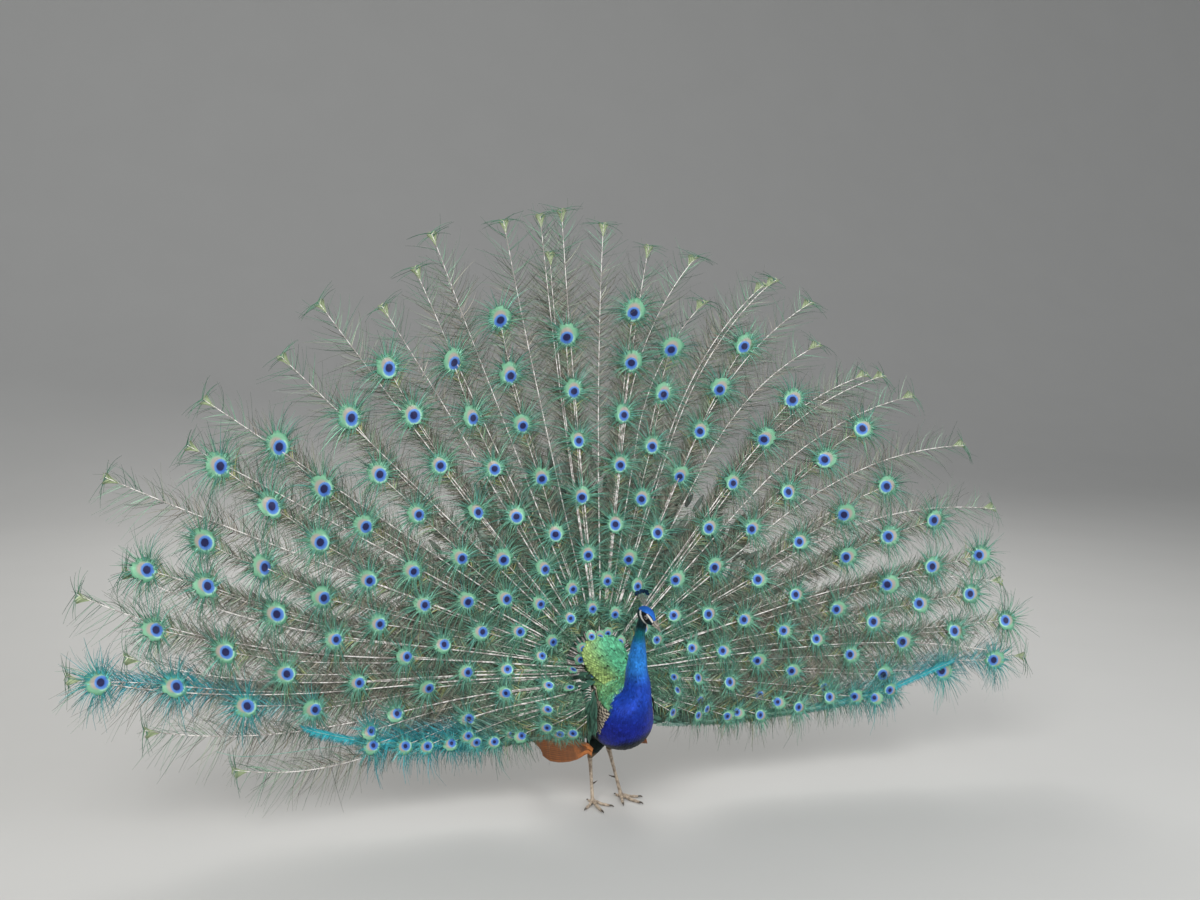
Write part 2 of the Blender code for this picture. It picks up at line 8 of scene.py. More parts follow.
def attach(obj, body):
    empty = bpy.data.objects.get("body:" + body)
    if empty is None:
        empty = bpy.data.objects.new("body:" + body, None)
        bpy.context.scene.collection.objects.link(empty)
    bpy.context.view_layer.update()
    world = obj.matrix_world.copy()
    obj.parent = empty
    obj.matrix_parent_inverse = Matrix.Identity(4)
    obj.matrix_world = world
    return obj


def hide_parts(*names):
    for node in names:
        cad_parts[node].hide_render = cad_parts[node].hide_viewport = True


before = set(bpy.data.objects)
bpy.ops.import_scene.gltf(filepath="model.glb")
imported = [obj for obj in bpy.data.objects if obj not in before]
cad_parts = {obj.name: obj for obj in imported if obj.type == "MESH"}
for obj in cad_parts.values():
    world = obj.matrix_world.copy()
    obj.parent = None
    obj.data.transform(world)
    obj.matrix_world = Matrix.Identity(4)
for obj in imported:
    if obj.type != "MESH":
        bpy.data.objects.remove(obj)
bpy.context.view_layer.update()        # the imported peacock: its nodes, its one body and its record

random = np.random.default_rng(20)
rootShift = np.array((-0.00605, -0.04220, 0.0))   # from the bird's own origin to the frame's
fullTurn = math.tau
wholeMap = np.full((1, 2), 0.5)                    # middle of the bake map, for small single pieces
print("frame loaded:", len(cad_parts), "nodes")


# small tools on arrays

def unit(vectors):
    return vectors / np.maximum(np.linalg.norm(vectors, axis=-1, keepdims=True), 1e-9)


def mix(a, b, t):
    return a + (b - a) * t


def smoothStep(value, low, high):
    t = np.clip((value - low) / (high - low), 0.0, 1.0)
    return t * t * (3.0 - 2.0 * t)


def along(values, t):
    values = np.asarray(values, float)
    return np.interp(np.clip(t, 0.0, 1.0) * (len(values) - 1), np.arange(len(values)), values)


# smooth curve through rows of numbers, read at a place counted in rows
def curveThrough(rows, place):
    rows = np.asarray(rows, float)
    place = np.clip(place, 0.0, len(rows) - 1.0001)
    low = np.floor(place).astype(int)
    t = (place - low)[..., None]
    before, after = rows[np.maximum(low - 1, 0)], rows[np.minimum(low + 2, len(rows) - 1)]
    a, b = rows[low], rows[low + 1]
    slopeA, slopeB = (b - before) / 2, (after - a) / 2
    return (a * (1 + 2 * t) + slopeA * t) * (1 - t) ** 2 + (b * (3 - 2 * t) - slopeB * (1 - t)) * t * t


def gridFaces(count, rows, columns, ring=False):
    row, column = np.meshgrid(np.arange(rows - 1), np.arange(columns if ring else columns - 1), indexing="ij")
    beside = (column + 1) % columns
    cell = np.stack((row * columns + column, row * columns + beside,
                     (row + 1) * columns + beside, (row + 1) * columns + column), -1).reshape(-1, 4)
    return (cell[None] + (np.arange(count) * rows * columns)[:, None, None]).reshape(-1, 4)


def makePiece(name, points, faces, material, slotName="", nodes=(), uv=None, values=None):
    groups = faces if isinstance(faces, list) else [faces]
    points = np.asarray(points, np.float32).reshape(-1, 3)
    corners = np.concatenate([group.ravel() for group in groups]).astype(np.int32)
    sizes = np.concatenate([np.full(len(group), group.shape[1]) for group in groups])
    mesh = bpy.data.meshes.new(name)
    mesh.vertices.add(len(points))
    mesh.vertices.foreach_set("co", points.ravel())
    mesh.loops.add(len(corners))
    mesh.loops.foreach_set("vertex_index", corners)
    mesh.polygons.add(len(sizes))
    mesh.polygons.foreach_set("loop_start", np.concatenate(((0,), np.cumsum(sizes)[:-1])).astype(np.int32))
    mesh.update(calc_edges=True)
    mesh.polygons.foreach_set("use_smooth", np.ones(len(sizes), bool))
    if uv is not None:
        addBakeMap(mesh, np.reshape(uv, (-1, 2))[corners])
    for key, value in (values or {}).items():
        addValue(mesh, key, value)
    mesh.materials.append(material)
    piece = bpy.data.objects.new(name, mesh)
    bpy.context.scene.collection.objects.link(piece)
    if slotName:
        dress(piece, slotName, nodes)
    return piece


def addBakeMap(mesh, uv):
    layer = mesh.uv_layers.new(name="OFBake")
    layer.data.foreach_set("uv", uv.astype(np.float32).ravel())


def addValue(mesh, key, value):
    value = np.asarray(value, np.float32)
    kind = "FLOAT" if value.size == len(mesh.vertices) else "FLOAT_VECTOR"
    layer = mesh.attributes.new(key, kind, "POINT")
    layer.data.foreach_set("value" if kind == "FLOAT" else "vector", value.ravel())


def dress(piece, slotName, nodes=()):
    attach(piece, "root")
    if nodes:
        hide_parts(*nodes)


# centre lines of blades: each leaves its root at an angle from ahead towards across, and turns as it goes
def bladePaths(root, lie, length, start, bend, knots, curl=0.0, droop=0.0):
    ahead, across, out = lie
    rows = (np.broadcast_to(v, len(root)).astype(float) for v in (length, start, bend, curl, droop))
    length, start, bend, curl, droop = rows
    share = np.linspace(0.0, 1.0, knots)
    angle = np.radians(start[:, None] + bend[:, None] * (share[1:] + share[:-1]) / 2)
    step = np.cos(angle)[..., None] * ahead[:, None] + np.sin(angle)[..., None] * across[:, None]
    step *= (length / (knots - 1))[:, None, None]
    path = np.concatenate((root[:, None], root[:, None] + np.cumsum(step, 1)), 1)
    path += out[:, None] * (curl * length)[:, None, None] * (share ** 2)[None, :, None]
    path[..., 2] -= (droop * length)[:, None] * share ** 2
    return path


# flat or cambered strips on centre lines; widths is one row of half widths for each knot
def strips(path, out, widths, twist=0.0, columns=2, camber=0.0):
    count, knots = path.shape[:2]
    tangent = unit(np.gradient(path, axis=1))
    normal = np.broadcast_to(out[:, None] if out.ndim == 2 else out, path.shape)
    side = unit(np.cross(tangent, normal))
    normal = np.cross(side, tangent)
    turn = np.broadcast_to(np.radians(twist), count)[:, None, None]
    turned = side * np.cos(turn) + normal * np.sin(turn)
    lifted = normal * np.cos(turn) - side * np.sin(turn)
    widths = np.broadcast_to(widths, (count, knots))[..., None, None]
    across = np.linspace(-1.0, 1.0, columns)[:, None]
    bulge = (1.0 - across ** 2) * camber
    return path[:, :, None] + widths * (turned[:, :, None] * across + lifted[:, :, None] * bulge)


# round tubes on centre lines
def tubes(path, radii, sides, reference=(0.0, -1.0, 0.15)):
    count, knots = path.shape[:2]
    tangent = unit(np.gradient(path, axis=1))
    side = unit(np.cross(tangent, np.broadcast_to(np.asarray(reference, float), path.shape)))
    up = np.cross(side, tangent)
    turn = np.arange(sides) * fullTurn / sides
    ring = side[:, :, None] * np.cos(turn)[:, None] + up[:, :, None] * np.sin(turn)[:, None]
    radii = np.broadcast_to(radii, (count, knots))[..., None, None]
    return path[:, :, None] + ring * radii


def closedTube(count, knots, sides):
    first = np.arange(count)[:, None] * knots * sides + np.arange(sides)
    return [gridFaces(count, knots, sides, ring=True), first[:, ::-1], first + (knots - 1) * sides]


# one part of a piece: its points, a small patch of the bake map for each blade at its root's place, and
# what each point knows of its place along and across the blade, with the blade's own values
def bladePart(points, rootUv, patch=0.003, span=1.0, **own):
    shape = points.shape[:3]
    values = {"along": np.broadcast_to(np.linspace(0.0, span, shape[1])[:, None], shape),
              "across": np.broadcast_to(np.linspace(0.0, 1.0, shape[2]), shape)}
    for key, value in own.items():
        value = np.broadcast_to(value, shape[:1] + np.shape(value)[1:])[:, None, None]
        values[key] = np.broadcast_to(value, shape + value.shape[3:])
    offset = np.stack((values["across"] - 0.5, values["along"] - 0.5), -1) * patch
    return points, np.clip(rootUv[:, None, None, :] + offset, 0.0, 1.0), values


def joinedFaces(shapes, closed):
    faces, start = [], 0
    for count, knots, columns in shapes:
        blocks = closedTube(count, knots, columns) if closed else [gridFaces(count, knots, columns)]
        faces += [block + start for block in blocks]
        start += count * knots * columns
    return faces


# joins parts into one piece: open strips, or closed tubes
def makeBlades(name, parts, material, slotName, nodes=(), closed=False):
    faces = joinedFaces([part[0].shape[:3] for part in parts], closed)
    points = np.concatenate([part[0].reshape(-1, 3) for part in parts])
    uv = np.concatenate([part[1].reshape(-1, 2) for part in parts])
    values = {}
    for key in parts[0][2]:
        values[key] = np.concatenate([part[2][key].reshape(-1, *part[2][key].shape[3:]) for part in parts])
    return makePiece(name, points, faces, material, slotName, nodes, uv, values)


# small feathers laid on a surface, each a cambered strip that rises a little from its root
featherShape = {"knots": 5, "columns": 3, "bend": 0.0, "rise": 0.10, "curl": -0.06, "camber": 0.25,
                "twist": 0.0, "profile": (0.55, 0.95, 1.0, 0.80, 0.22)}


def layFeathers(name, root, lie, length, halfWidth, tint, material, slotName, nodes=(), start=0.0, uv=None,
                own=None, **shape):
    shape = {**featherShape, **shape}
    ahead, across, out = lie
    knots = shape["knots"]
    tilted = unit(ahead + out * shape["rise"])
    path = bladePaths(root, (tilted, across, out), length, start, shape["bend"], knots, shape["curl"])
    profile = along(shape["profile"], np.linspace(0, 1, knots))
    widths = np.broadcast_to(halfWidth, len(root))[:, None] * profile
    points = strips(path, out, widths, shape["twist"], shape["columns"], shape["camber"])
    uv = bodyUv(root) if uv is None else uv
    part = bladePart(points, uv, tint=tint, value=random.random(len(root)), **(own or {}))
    return makeBlades(name, [part], material, slotName, nodes)


def varied(tint, amount=0.16):
    return np.clip(tint * (1.0 + random.normal(0.0, amount, (len(tint), 1))), 0.0, 1.0)


# shader nodes

# a group of nodes with named sockets; a socket holds a colour where its first value is one
def newGroup(name, inputs, outputs):
    tree = bpy.data.node_groups.new(name, "ShaderNodeTree")
    for label, value in inputs.items():
        kind = "NodeSocketColor" if isinstance(value, tuple) else "NodeSocketFloat"
        tree.interface.new_socket(name=label, in_out="INPUT", socket_type=kind).default_value = value
    for label, kind in outputs.items():
        tree.interface.new_socket(name=label, in_out="OUTPUT", socket_type=kind)
    return Nodes(tree), tree.nodes.new("NodeGroupInput").outputs, tree.nodes.new("NodeGroupOutput").inputs


class Nodes:
    def __init__(self, tree):
        self.tree = tree

    def link(self, source, socket):
        if isinstance(source, bpy.types.NodeSocket):
            self.tree.links.new(source, socket)
        elif socket.type == "RGBA":
            socket.default_value = (*source, 1.0)
        else:
            socket.default_value = source

    def add(self, kind, **settings):
        node = self.tree.nodes.new("ShaderNode" + kind)
        for key, value in settings.items():
            setattr(node, key, value)
        return node

    def value(self, name):
        return self.add("Attribute", attribute_name=name).outputs["Fac"]

    def colour(self, name):
        return self.add("Attribute", attribute_name=name).outputs["Color"]

    def math(self, operation, a, b=0.0, c=0.0):
        node = self.add("Math", operation=operation)
        for value, socket in zip((a, b, c), node.inputs):
            self.link(value, socket)
        return node.outputs[0]

    def blend(self, a, b, share, kind="MIX"):
        node = self.add("Mix", data_type="RGBA", blend_type=kind)
        for value, place in ((share, 0), (a, 6), (b, 7)):
            self.link(value, node.inputs[place])
        return node.outputs[2]

    # darkens a colour by some share
    def shade(self, colour, dark, share):
        return self.blend(colour, (dark, dark, dark), share, "MULTIPLY")

    def ramp(self, share, stops):
        node = self.add("ValToRGB")
        elements = node.color_ramp.elements
        while len(elements) < len(stops):
            elements.new(0.5)
        for element, (place, colour) in zip(elements, stops):
            element.position = place
            element.color = (*colour, 1.0)
        self.link(share, node.inputs[0])
        return node.outputs[0]

    def smooth(self, value, low, high):
        node = self.add("MapRange", interpolation_type="SMOOTHSTEP", clamp=True)
        self.link(value, node.inputs["Value"])
        node.inputs["From Min"].default_value = low
        node.inputs["From Max"].default_value = high
        return node.outputs["Result"]

    def noise(self, scale, detail=2.0):
        node = self.add("TexNoise")
        node.inputs["Detail"].default_value = detail
        self.link(scale, node.inputs["Scale"])
        self.link(self.add("TexCoord").outputs["Object"], node.inputs["Vector"])
        return node.outputs["Fac"]

    def bump(self, height, strength, distance):
        node = self.add("Bump")
        node.inputs["Strength"].default_value = strength
        node.inputs["Distance"].default_value = distance
        self.link(height, node.inputs["Height"])
        return node.outputs["Normal"]

    def use(self, group, **inputs):
        node = self.add("Group", node_tree=group)
        for key, value in inputs.items():
            self.link(value, node.inputs[key])
        return node

    def times(self, a, b):
        return self.math("MULTIPLY", a, b)

    def fromMiddle(self, value):
        return self.math("ABSOLUTE", self.math("SUBTRACT", value, 0.5))

    def barbs(self, count):
        places = {"Along": self.value("along"), "Across": self.value("across")}
        return self.use(barbLines, Count=count, **places).outputs["Lines"]

    # another colour on the rear of each blade
    def behind(self, colour, back, share):
        return self.blend(colour, back, self.times(self.add("NewGeometry").outputs["Backfacing"], share))

    def paint(self, colour, normal=None):
        self.link(colour, self.shader.inputs["Base Color"])
        if normal is not None:
            self.link(normal, self.shader.inputs["Normal"])
        return self.material


# fine lines of barbs that leave the middle of a feather at a slant
def makeBarbLines():
    nodes, given, result = newGroup("barb lines", {"Along": 0.5, "Across": 0.5, "Count": 30.0, "Slant": 0.35},
                                    {"Lines": "NodeSocketFloat"})
    slanted = nodes.times(nodes.fromMiddle(given["Across"]), given["Slant"])
    place = nodes.math("SUBTRACT", given["Along"], slanted)
    wave = nodes.math("SINE", nodes.times(place, nodes.times(given["Count"], fullTurn)))
    nodes.link(nodes.math("MULTIPLY_ADD", wave, 0.5, 0.5), result["Lines"])
    return nodes.tree


# blotchy change of lightness over a surface
def makeMottle():
    nodes, given, result = newGroup("mottle", {"Colour": (0.5, 0.5, 0.5, 1.0), "Scale": 60.0, "Amount": 0.3},
                                    {"Colour": "NodeSocketColor", "Mask": "NodeSocketFloat"})
    noise = nodes.noise(given["Scale"], 3.0)
    share = nodes.times(nodes.smooth(noise, 0.35, 0.65), given["Amount"])
    nodes.link(nodes.blend(given["Colour"], nodes.shade(given["Colour"], 0.25, 1.0), share), result["Colour"])
    nodes.link(noise, result["Mask"])
    return nodes.tree


barbLines = makeBarbLines()
mottle = makeMottle()


def newMaterial(name, roughness, metallic=0.0, **fixed):
    material = bpy.data.materials.new(name)
    material.use_nodes = True
    nodes = Nodes(material.node_tree)
    nodes.material, nodes.shader = material, material.node_tree.nodes["Principled BSDF"]
    for key, value in {"Roughness": roughness, "Metallic": metallic, **fixed}.items():
        nodes.shader.inputs[key.replace("_", " ")].default_value = value
    return nodes


# the train's loose barbs: silvery bronze along the feather, green near its eye, turquoise at the rim
def makeBarbMaterial():
    look = {"bronzeDark": (0.055, 0.045, 0.034), "bronzeLight": (0.46, 0.42, 0.34),
            "greenDark": (0.018, 0.080, 0.052), "greenLight": (0.23, 0.54, 0.35),
            "goldDark": (0.14, 0.12, 0.02), "goldLight": (0.58, 0.56, 0.20),
            "tealDark": (0.004, 0.16, 0.20), "tealLight": (0.03, 0.55, 0.66), "back": (0.12, 0.100, 0.075)}
    nodes = newMaterial("trainBarbs", 0.42, 0.25, Sheen_Weight=0.25, Sheen_Roughness=0.4)
    value = nodes.value("value")
    colour = nodes.blend(look["bronzeDark"], look["bronzeLight"], value)
    for hue in ("green", "gold", "teal"):
        own = nodes.blend(look[hue + "Dark"], look[hue + "Light"], value)
        colour = nodes.blend(colour, own, nodes.value(hue))
    tipped = nodes.shade(colour, 0.55, nodes.smooth(nodes.value("along"), 0.45, 1.0))
    return nodes.paint(nodes.behind(tipped, look["back"], 0.65))


def makeShaftMaterial():
    look = {"ivory": (0.92, 0.88, 0.85), "dimBetweenGlints": (0.24, 0.21, 0.19)}
    nodes = newMaterial("trainShafts", 0.32, 0.0, Coat_Weight=0.3)
    # painted highlight: noise patches along each shaft alternate bright ivory beads with dim grey stretches,
    # standing in for beaded glints of light on the shafts
    fine = nodes.times(nodes.noise(120.0, 1.0), 0.4)
    glintPatches = nodes.math("MULTIPLY_ADD", nodes.noise(48.0, 1.0), 0.6, fine)
    colour = nodes.blend(look["ivory"], look["dimBetweenGlints"], nodes.times(nodes.smooth(glintPatches, 0.44, 0.56), 0.80))
    return nodes.paint(colour, nodes.bump(nodes.noise(900.0, 1.0), 0.15, 0.0004))


# rings of one eye, read from the place on its own disc; +v points to the feather's tip
def makeEyeSpotMaterial():
    look = {"halo": (0.110, 0.360, 0.215), "mint": (0.230, 0.530, 0.330), "rimLight": (0.40, 0.76, 0.56),
            "beige": (0.46, 0.41, 0.36), "blue": (0.050, 0.170, 0.620), "blueEdge": (0.130, 0.330, 0.800),
            "core": (0.006, 0.008, 0.085), "back": (0.10, 0.08, 0.055)}
    nodes = newMaterial("trainEyes", 0.38, 0.22, Sheen_Weight=0.10)
    split = nodes.add("SeparateXYZ")
    nodes.link(nodes.add("Attribute", attribute_name="disc").outputs["Vector"], split.inputs[0])
    u, v = split.outputs[0], split.outputs[1]
    ripple = nodes.math("MULTIPLY_ADD", nodes.noise(340.0, 1.0), 0.10, -0.05)

    def distance(lift, stretch=1.0):
        high = nodes.times(nodes.math("SUBTRACT", v, lift), stretch)
        square = nodes.math("MULTIPLY_ADD", u, u, nodes.times(high, high))
        return nodes.math("ADD", nodes.math("SQRT", square), ripple)

    rings = ((0.0, "beige"), (0.25, "beige"), (0.37, "mint"), (0.46, "mint"), (0.57, "halo"))
    colour = nodes.ramp(nodes.times(distance(0.10, 0.92), 0.5), [(place, look[key]) for place, key in rings])
    blueRound = distance(-0.28)
    light = nodes.times(nodes.smooth(blueRound, 0.88, 0.76), nodes.smooth(v, 0.15, -0.35))
    colour = nodes.blend(colour, look["rimLight"], light)
    blue = nodes.ramp(blueRound, ((0.0, look["blue"]), (0.38, look["blue"]), (0.62, look["blueEdge"])))
    colour = nodes.blend(blue, colour, nodes.smooth(blueRound, 0.62, 0.70))
    core = nodes.math("DIVIDE", distance(-0.20, 1.06), nodes.value("coreSize"))
    colour = nodes.blend(look["core"], colour, nodes.smooth(core, 0.84, 1.12))
    u, v = (nodes.math("MULTIPLY_ADD", place, 0.5, 0.5) for place in (u, v))
    lines = nodes.use(barbLines, Along=v, Across=u, Count=26.0, Slant=0.9).outputs["Lines"]
    dark = nodes.shade(colour, 0.55, nodes.times(lines, 0.4))
    return nodes.paint(nodes.behind(dark, look["back"], 0.8), nodes.bump(lines, 0.35, 0.0005))


# plumage whose colour comes with each feather, darker along its edge
def makePlumageMaterial(name, roughness, metallic, edge, lines=14.0, **fixed):
    nodes = newMaterial(name, roughness, metallic, **fixed)
    aside = nodes.smooth(nodes.fromMiddle(nodes.value("across")), 0.26, 0.5)
    rim = nodes.math("MAXIMUM", aside, nodes.smooth(nodes.value("along"), 0.80, 1.0))
    colour = nodes.shade(nodes.colour("tint"), 0.25, nodes.times(rim, edge))
    barb = nodes.barbs(lines)
    colour = nodes.shade(colour, 0.6, nodes.times(barb, 0.35))
    colour = nodes.use(mottle, Colour=colour, Scale=45.0, Amount=0.22).outputs["Colour"]
    return nodes.paint(colour, nodes.bump(barb, 0.3, 0.0004))


def makeSkinMaterial():
    nodes = newMaterial("birdSkin", 0.55, 0.1)
    blotches = nodes.use(mottle, Colour=nodes.colour("tint"), Scale=150.0, Amount=0.35).outputs
    return nodes.paint(blotches["Colour"], nodes.bump(blotches["Mask"], 0.4, 0.0006))


def makePlainMaterial(name, light, dark, scale, roughness, height=0.0004):
    nodes = newMaterial(name, roughness)
    noise = nodes.noise(scale, 4.0)
    colour = nodes.blend(light, dark, nodes.smooth(noise, 0.35, 0.68))
    return nodes.paint(colour, nodes.bump(noise, 0.35, height))


# pale feather crossed by wavy dark bars
def makeBarredMaterial():
    look = {"buff": (0.52, 0.46, 0.36), "bar": (0.035, 0.030, 0.026)}
    nodes = newMaterial("barredWing", 0.55, 0.0, Sheen_Weight=0.2)
    sway = nodes.times(nodes.noise(160.0), 0.55)
    place = nodes.math("ADD", nodes.times(nodes.value("along"), nodes.value("bars")), sway)
    wave = nodes.math("SINE", nodes.times(nodes.math("ADD", place, nodes.value("value")), fullTurn))
    colour = nodes.blend(look["bar"], look["buff"], nodes.smooth(wave, -0.25, 0.35))
    lines = nodes.barbs(40.0)
    return nodes.paint(nodes.shade(colour, 0.6, nodes.times(lines, 0.3)), nodes.bump(lines, 0.25, 0.0004))


def makeEyeMaterial():
    look = {"iris": (0.060, 0.022, 0.008), "pupil": (0.002, 0.002, 0.002), "rim": (0.01, 0.005, 0.003),
            "pupilSize": 0.42}
    nodes = newMaterial("eyeball", 0.04, 0.0, Coat_Weight=1.0, IOR=1.38)
    share = nodes.value("along")
    inner = nodes.smooth(share, look["pupilSize"], look["pupilSize"] + 0.03)
    return nodes.paint(nodes.blend(nodes.blend(look["pupil"], look["iris"], inner), look["rim"],
                                   nodes.smooth(share, 0.75, 0.95)))


barbFinish = makeBarbMaterial()
shaftFinish = makeShaftMaterial()
eyeSpotFinish = makeEyeSpotMaterial()
blueFinish = makePlumageMaterial("breastBlue", 0.42, 0.35, 0.35, Sheen_Weight=0.04, Specular_IOR_Level=0.15)
scaleFinish = makePlumageMaterial("backScales", 0.42, 0.30, 1.0, 8.0)
dullFinish = makePlumageMaterial("softPlumage", 0.70, 0.0, 0.35, Specular_IOR_Level=0.10)
bedFinish = makePlumageMaterial("trainBed", 0.50, 0.20, 0.60, 12.0)
quillFinish = makePlumageMaterial("chestnutQuills", 0.45, 0.05, 0.55, 60.0)
skinFinish = makeSkinMaterial()
hornFinish = makePlainMaterial("billHorn", (0.36, 0.33, 0.28), (0.12, 0.11, 0.10), 160.0, 0.35)
clawFinish = makePlainMaterial("clawHorn", (0.11, 0.09, 0.07), (0.035, 0.03, 0.026), 200.0, 0.32)
legFinish = makePlainMaterial("legScales", (0.56, 0.46, 0.35), (0.27, 0.21, 0.16), 120.0, 0.48, 0.0006)
barredFinish = makeBarredMaterial()
eyeFinish = makeEyeMaterial()
lidFinish = makePlainMaterial("eyelids", (0.30, 0.31, 0.32), (0.10, 0.10, 0.11), 600.0, 0.5, 0.0002)
crestShaftFinish = makePlainMaterial("crestShafts", (0.36, 0.38, 0.34), (0.12, 0.14, 0.13), 300.0, 0.45,
                                     0.0001)
rimShaftFinish = makePlainMaterial("rimShafts", (0.42, 0.62, 0.52), (0.08, 0.30, 0.25), 90.0, 0.4, 0.0003)
print("materials made")


# the raised train's surface, the same as the solids'

fan = {"pivot": (0.0, 0.0965, 0.39), "lean": 8.5, "cup": 0.055, "swirl": 3.0, "wrap": 0.15, "sight": 0.336,
       "aside": 0.404}


# the ways up and forward of a fan that leans back
def leaning(degrees):
    sine, cosine = math.sin(math.radians(degrees)), math.cos(math.radians(degrees))
    return np.array((0.0, sine, cosine)), np.array((0.0, -cosine, sine))


fanUp, fanForward = leaning(fan["lean"])
fanSide = np.array((1.0, 0.0, 0.0))


def fanSwirl(degrees, radius):
    rise = smoothStep(radius, 0.8, 1.4) * np.minimum(1.0, np.abs(degrees) / 25.0)
    return fan["swirl"] * rise * (1.0 - smoothStep(degrees, 55.0, 85.0))


# the lowest feathers come forward round the body
def foldForward(degrees, radius):
    return fan["wrap"] * smoothStep(np.abs(degrees), 70.0, 122.0) * np.exp(-((radius - 0.10) / 0.20) ** 2)


# depth order of the layers: feathers that end nearer the middle lie in front
def layerLift(radius):
    return 0.012 - 0.019 * radius


# how far shafts lie under the short feathers near the body
def sunk(degrees, radius):
    return 0.014 * smoothStep(radius, 0.25, 0.11) * smoothStep(np.abs(degrees), 125.0, 105.0)


def trainPoint(degrees, radius, lift=0.0):
    degrees, radius, lift = np.broadcast_arrays(degrees, radius, lift)
    turn = np.radians(degrees + fanSwirl(degrees, radius))[..., None]
    far = radius[..., None]
    point = np.asarray(fan["pivot"]) + rootShift + (fanSide * np.sin(turn) + fanUp * np.cos(turn)) * far
    point = point + fanForward * (fan["cup"] * far ** 2 + lift[..., None])
    point[..., 1] -= foldForward(degrees, radius)
    return point


def trainAxes(degrees, radius):
    near, far = trainPoint(degrees, radius - 0.004), trainPoint(degrees, radius + 0.004)
    ahead = unit(far - near)
    across = unit(trainPoint(degrees + 0.3, radius) - trainPoint(degrees - 0.3, radius))
    out = unit(np.cross(ahead, across))
    out *= np.where(out[..., 1:2] > 0.0, -1.0, 1.0)
    return ahead, across, out


def trainUv(degrees, radius):
    return np.stack((0.5 + degrees / 340.0, radius / 1.62), -1)


# angle and radius on the fan of a place given by its x and its height
def polar(x, z):
    x, z = np.asarray(x, float), np.asarray(z, float) - fan["pivot"][2]
    return np.degrees(np.arctan2(x, z)), np.hypot(x, z)


# x and height on the fan of an angle and a radius
def fanPlace(degrees, radius):
    turn = np.radians(degrees)
    return radius * np.sin(turn), fan["pivot"][2] + radius * np.cos(turn)


# line of the train's lower edge: distance from the middle, then height on the right and left
edgeLine = {"out": (0.13, 0.21, 0.335, 0.463, 0.56, 0.672, 0.76, 0.858, 0.95, 1.04, 1.13, 1.20),
            -1: (0.205, 0.197, 0.192, 0.199, 0.211, 0.223, 0.240, 0.268, 0.300, 0.330, 0.360, 0.390),
            1: (0.210, 0.201, 0.199, 0.203, 0.207, 0.212, 0.220, 0.236, 0.252, 0.283, 0.315, 0.338)}


def edgeHeight(x):
    left, right = (np.interp(np.abs(x), edgeLine["out"], edgeLine[side]) for side in (1, -1))
    return raised(x, np.where(x > 0.0, left, right))


# places along the lower edge rise as the feathers come forward, so the line stays level from the front
def raised(x, z):
    return z + fan["sight"] * foldForward(*polar(x, z))


# the same for single places, which also keep their place from side to side
def keptPlaces(places):
    x, z = np.array(places, float).T
    movedX, movedZ = x, z
    for again in range(4):
        forward = foldForward(*polar(movedX, movedZ))
        movedX, movedZ = x - fan["aside"] * forward, z + fan["sight"] * forward
    return polar(movedX, movedZ)


train = {
    "columnsRight": (-6.2, -17.5, -27.0, -37.2, -47.0, -56.7, -63.5, -71.5, -77.5, -84.6, -90.5),
    "columnsLeft": (5.7, 14.0, 24.7, 37.8, 49.5, 60.0, 69.0, 77.0, 82.5, 87.5, 93.0),
    "reach": 1.06, "reachAtSides": 0.223, "step": 0.0674, "stepGrowth": 0.0008, "spread": 0.316,
    "jitter": 0.007, "barbGap": 0.0021, "barbWidth": 0.00088, "shaftRoot": 0.060, "wander": 0.30,
    "edgeRise": 0.016,
}
# small eyes along the lower edge, x and height
edgeEyes = (
    (-0.100, 0.204), (-0.14, 0.205), (-0.18, 0.227), (-0.26, 0.210), (-0.287, 0.216), (-0.346, 0.200),
    (-0.400, 0.202),
    (-0.424, 0.223), (-0.475, 0.207), (-0.547, 0.205), (-0.611, 0.212), (-0.703, 0.223), (-0.708, 0.263),
    (0.218, 0.240), (0.303, 0.225), (0.334, 0.241), (0.403, 0.214), (0.437, 0.224), (0.515, 0.210),
    (0.577, 0.246), (0.648, 0.225), (0.755, 0.250), (0.842, 0.245), (0.911, 0.238), (0.967, 0.258),
)
# long feathers without eyes: angle and radius of each tip
longTips = (
    (-100.3, 1.10), (-93.0, 1.31), (-86.6, 1.50), (-84.6, 1.36), (-78.6, 1.50), (-75.5, 1.40), (-67.0, 1.52),
    (-60.5, 1.37), (-55.3, 1.40), (-45.9, 1.315), (-38.3, 1.356), (-32.0, 1.25), (-25.9, 1.30), (-22.6, 1.37),
    (-13.3, 1.35), (-8.4, 1.35), (-5.5, 1.36), (-7.6, 1.24), (0.2, 1.32), (7.0, 1.27), (14.3, 1.275),
    (17.5, 1.153), (25.3, 1.276), (26.5, 1.307), (32.5, 1.31), (37.1, 1.22), (45.8, 1.26), (47.7, 1.30),
    (52.8, 1.34), (62.4, 1.41), (72.0, 1.43), (82.0, 1.40), (92.2, 1.465),
)


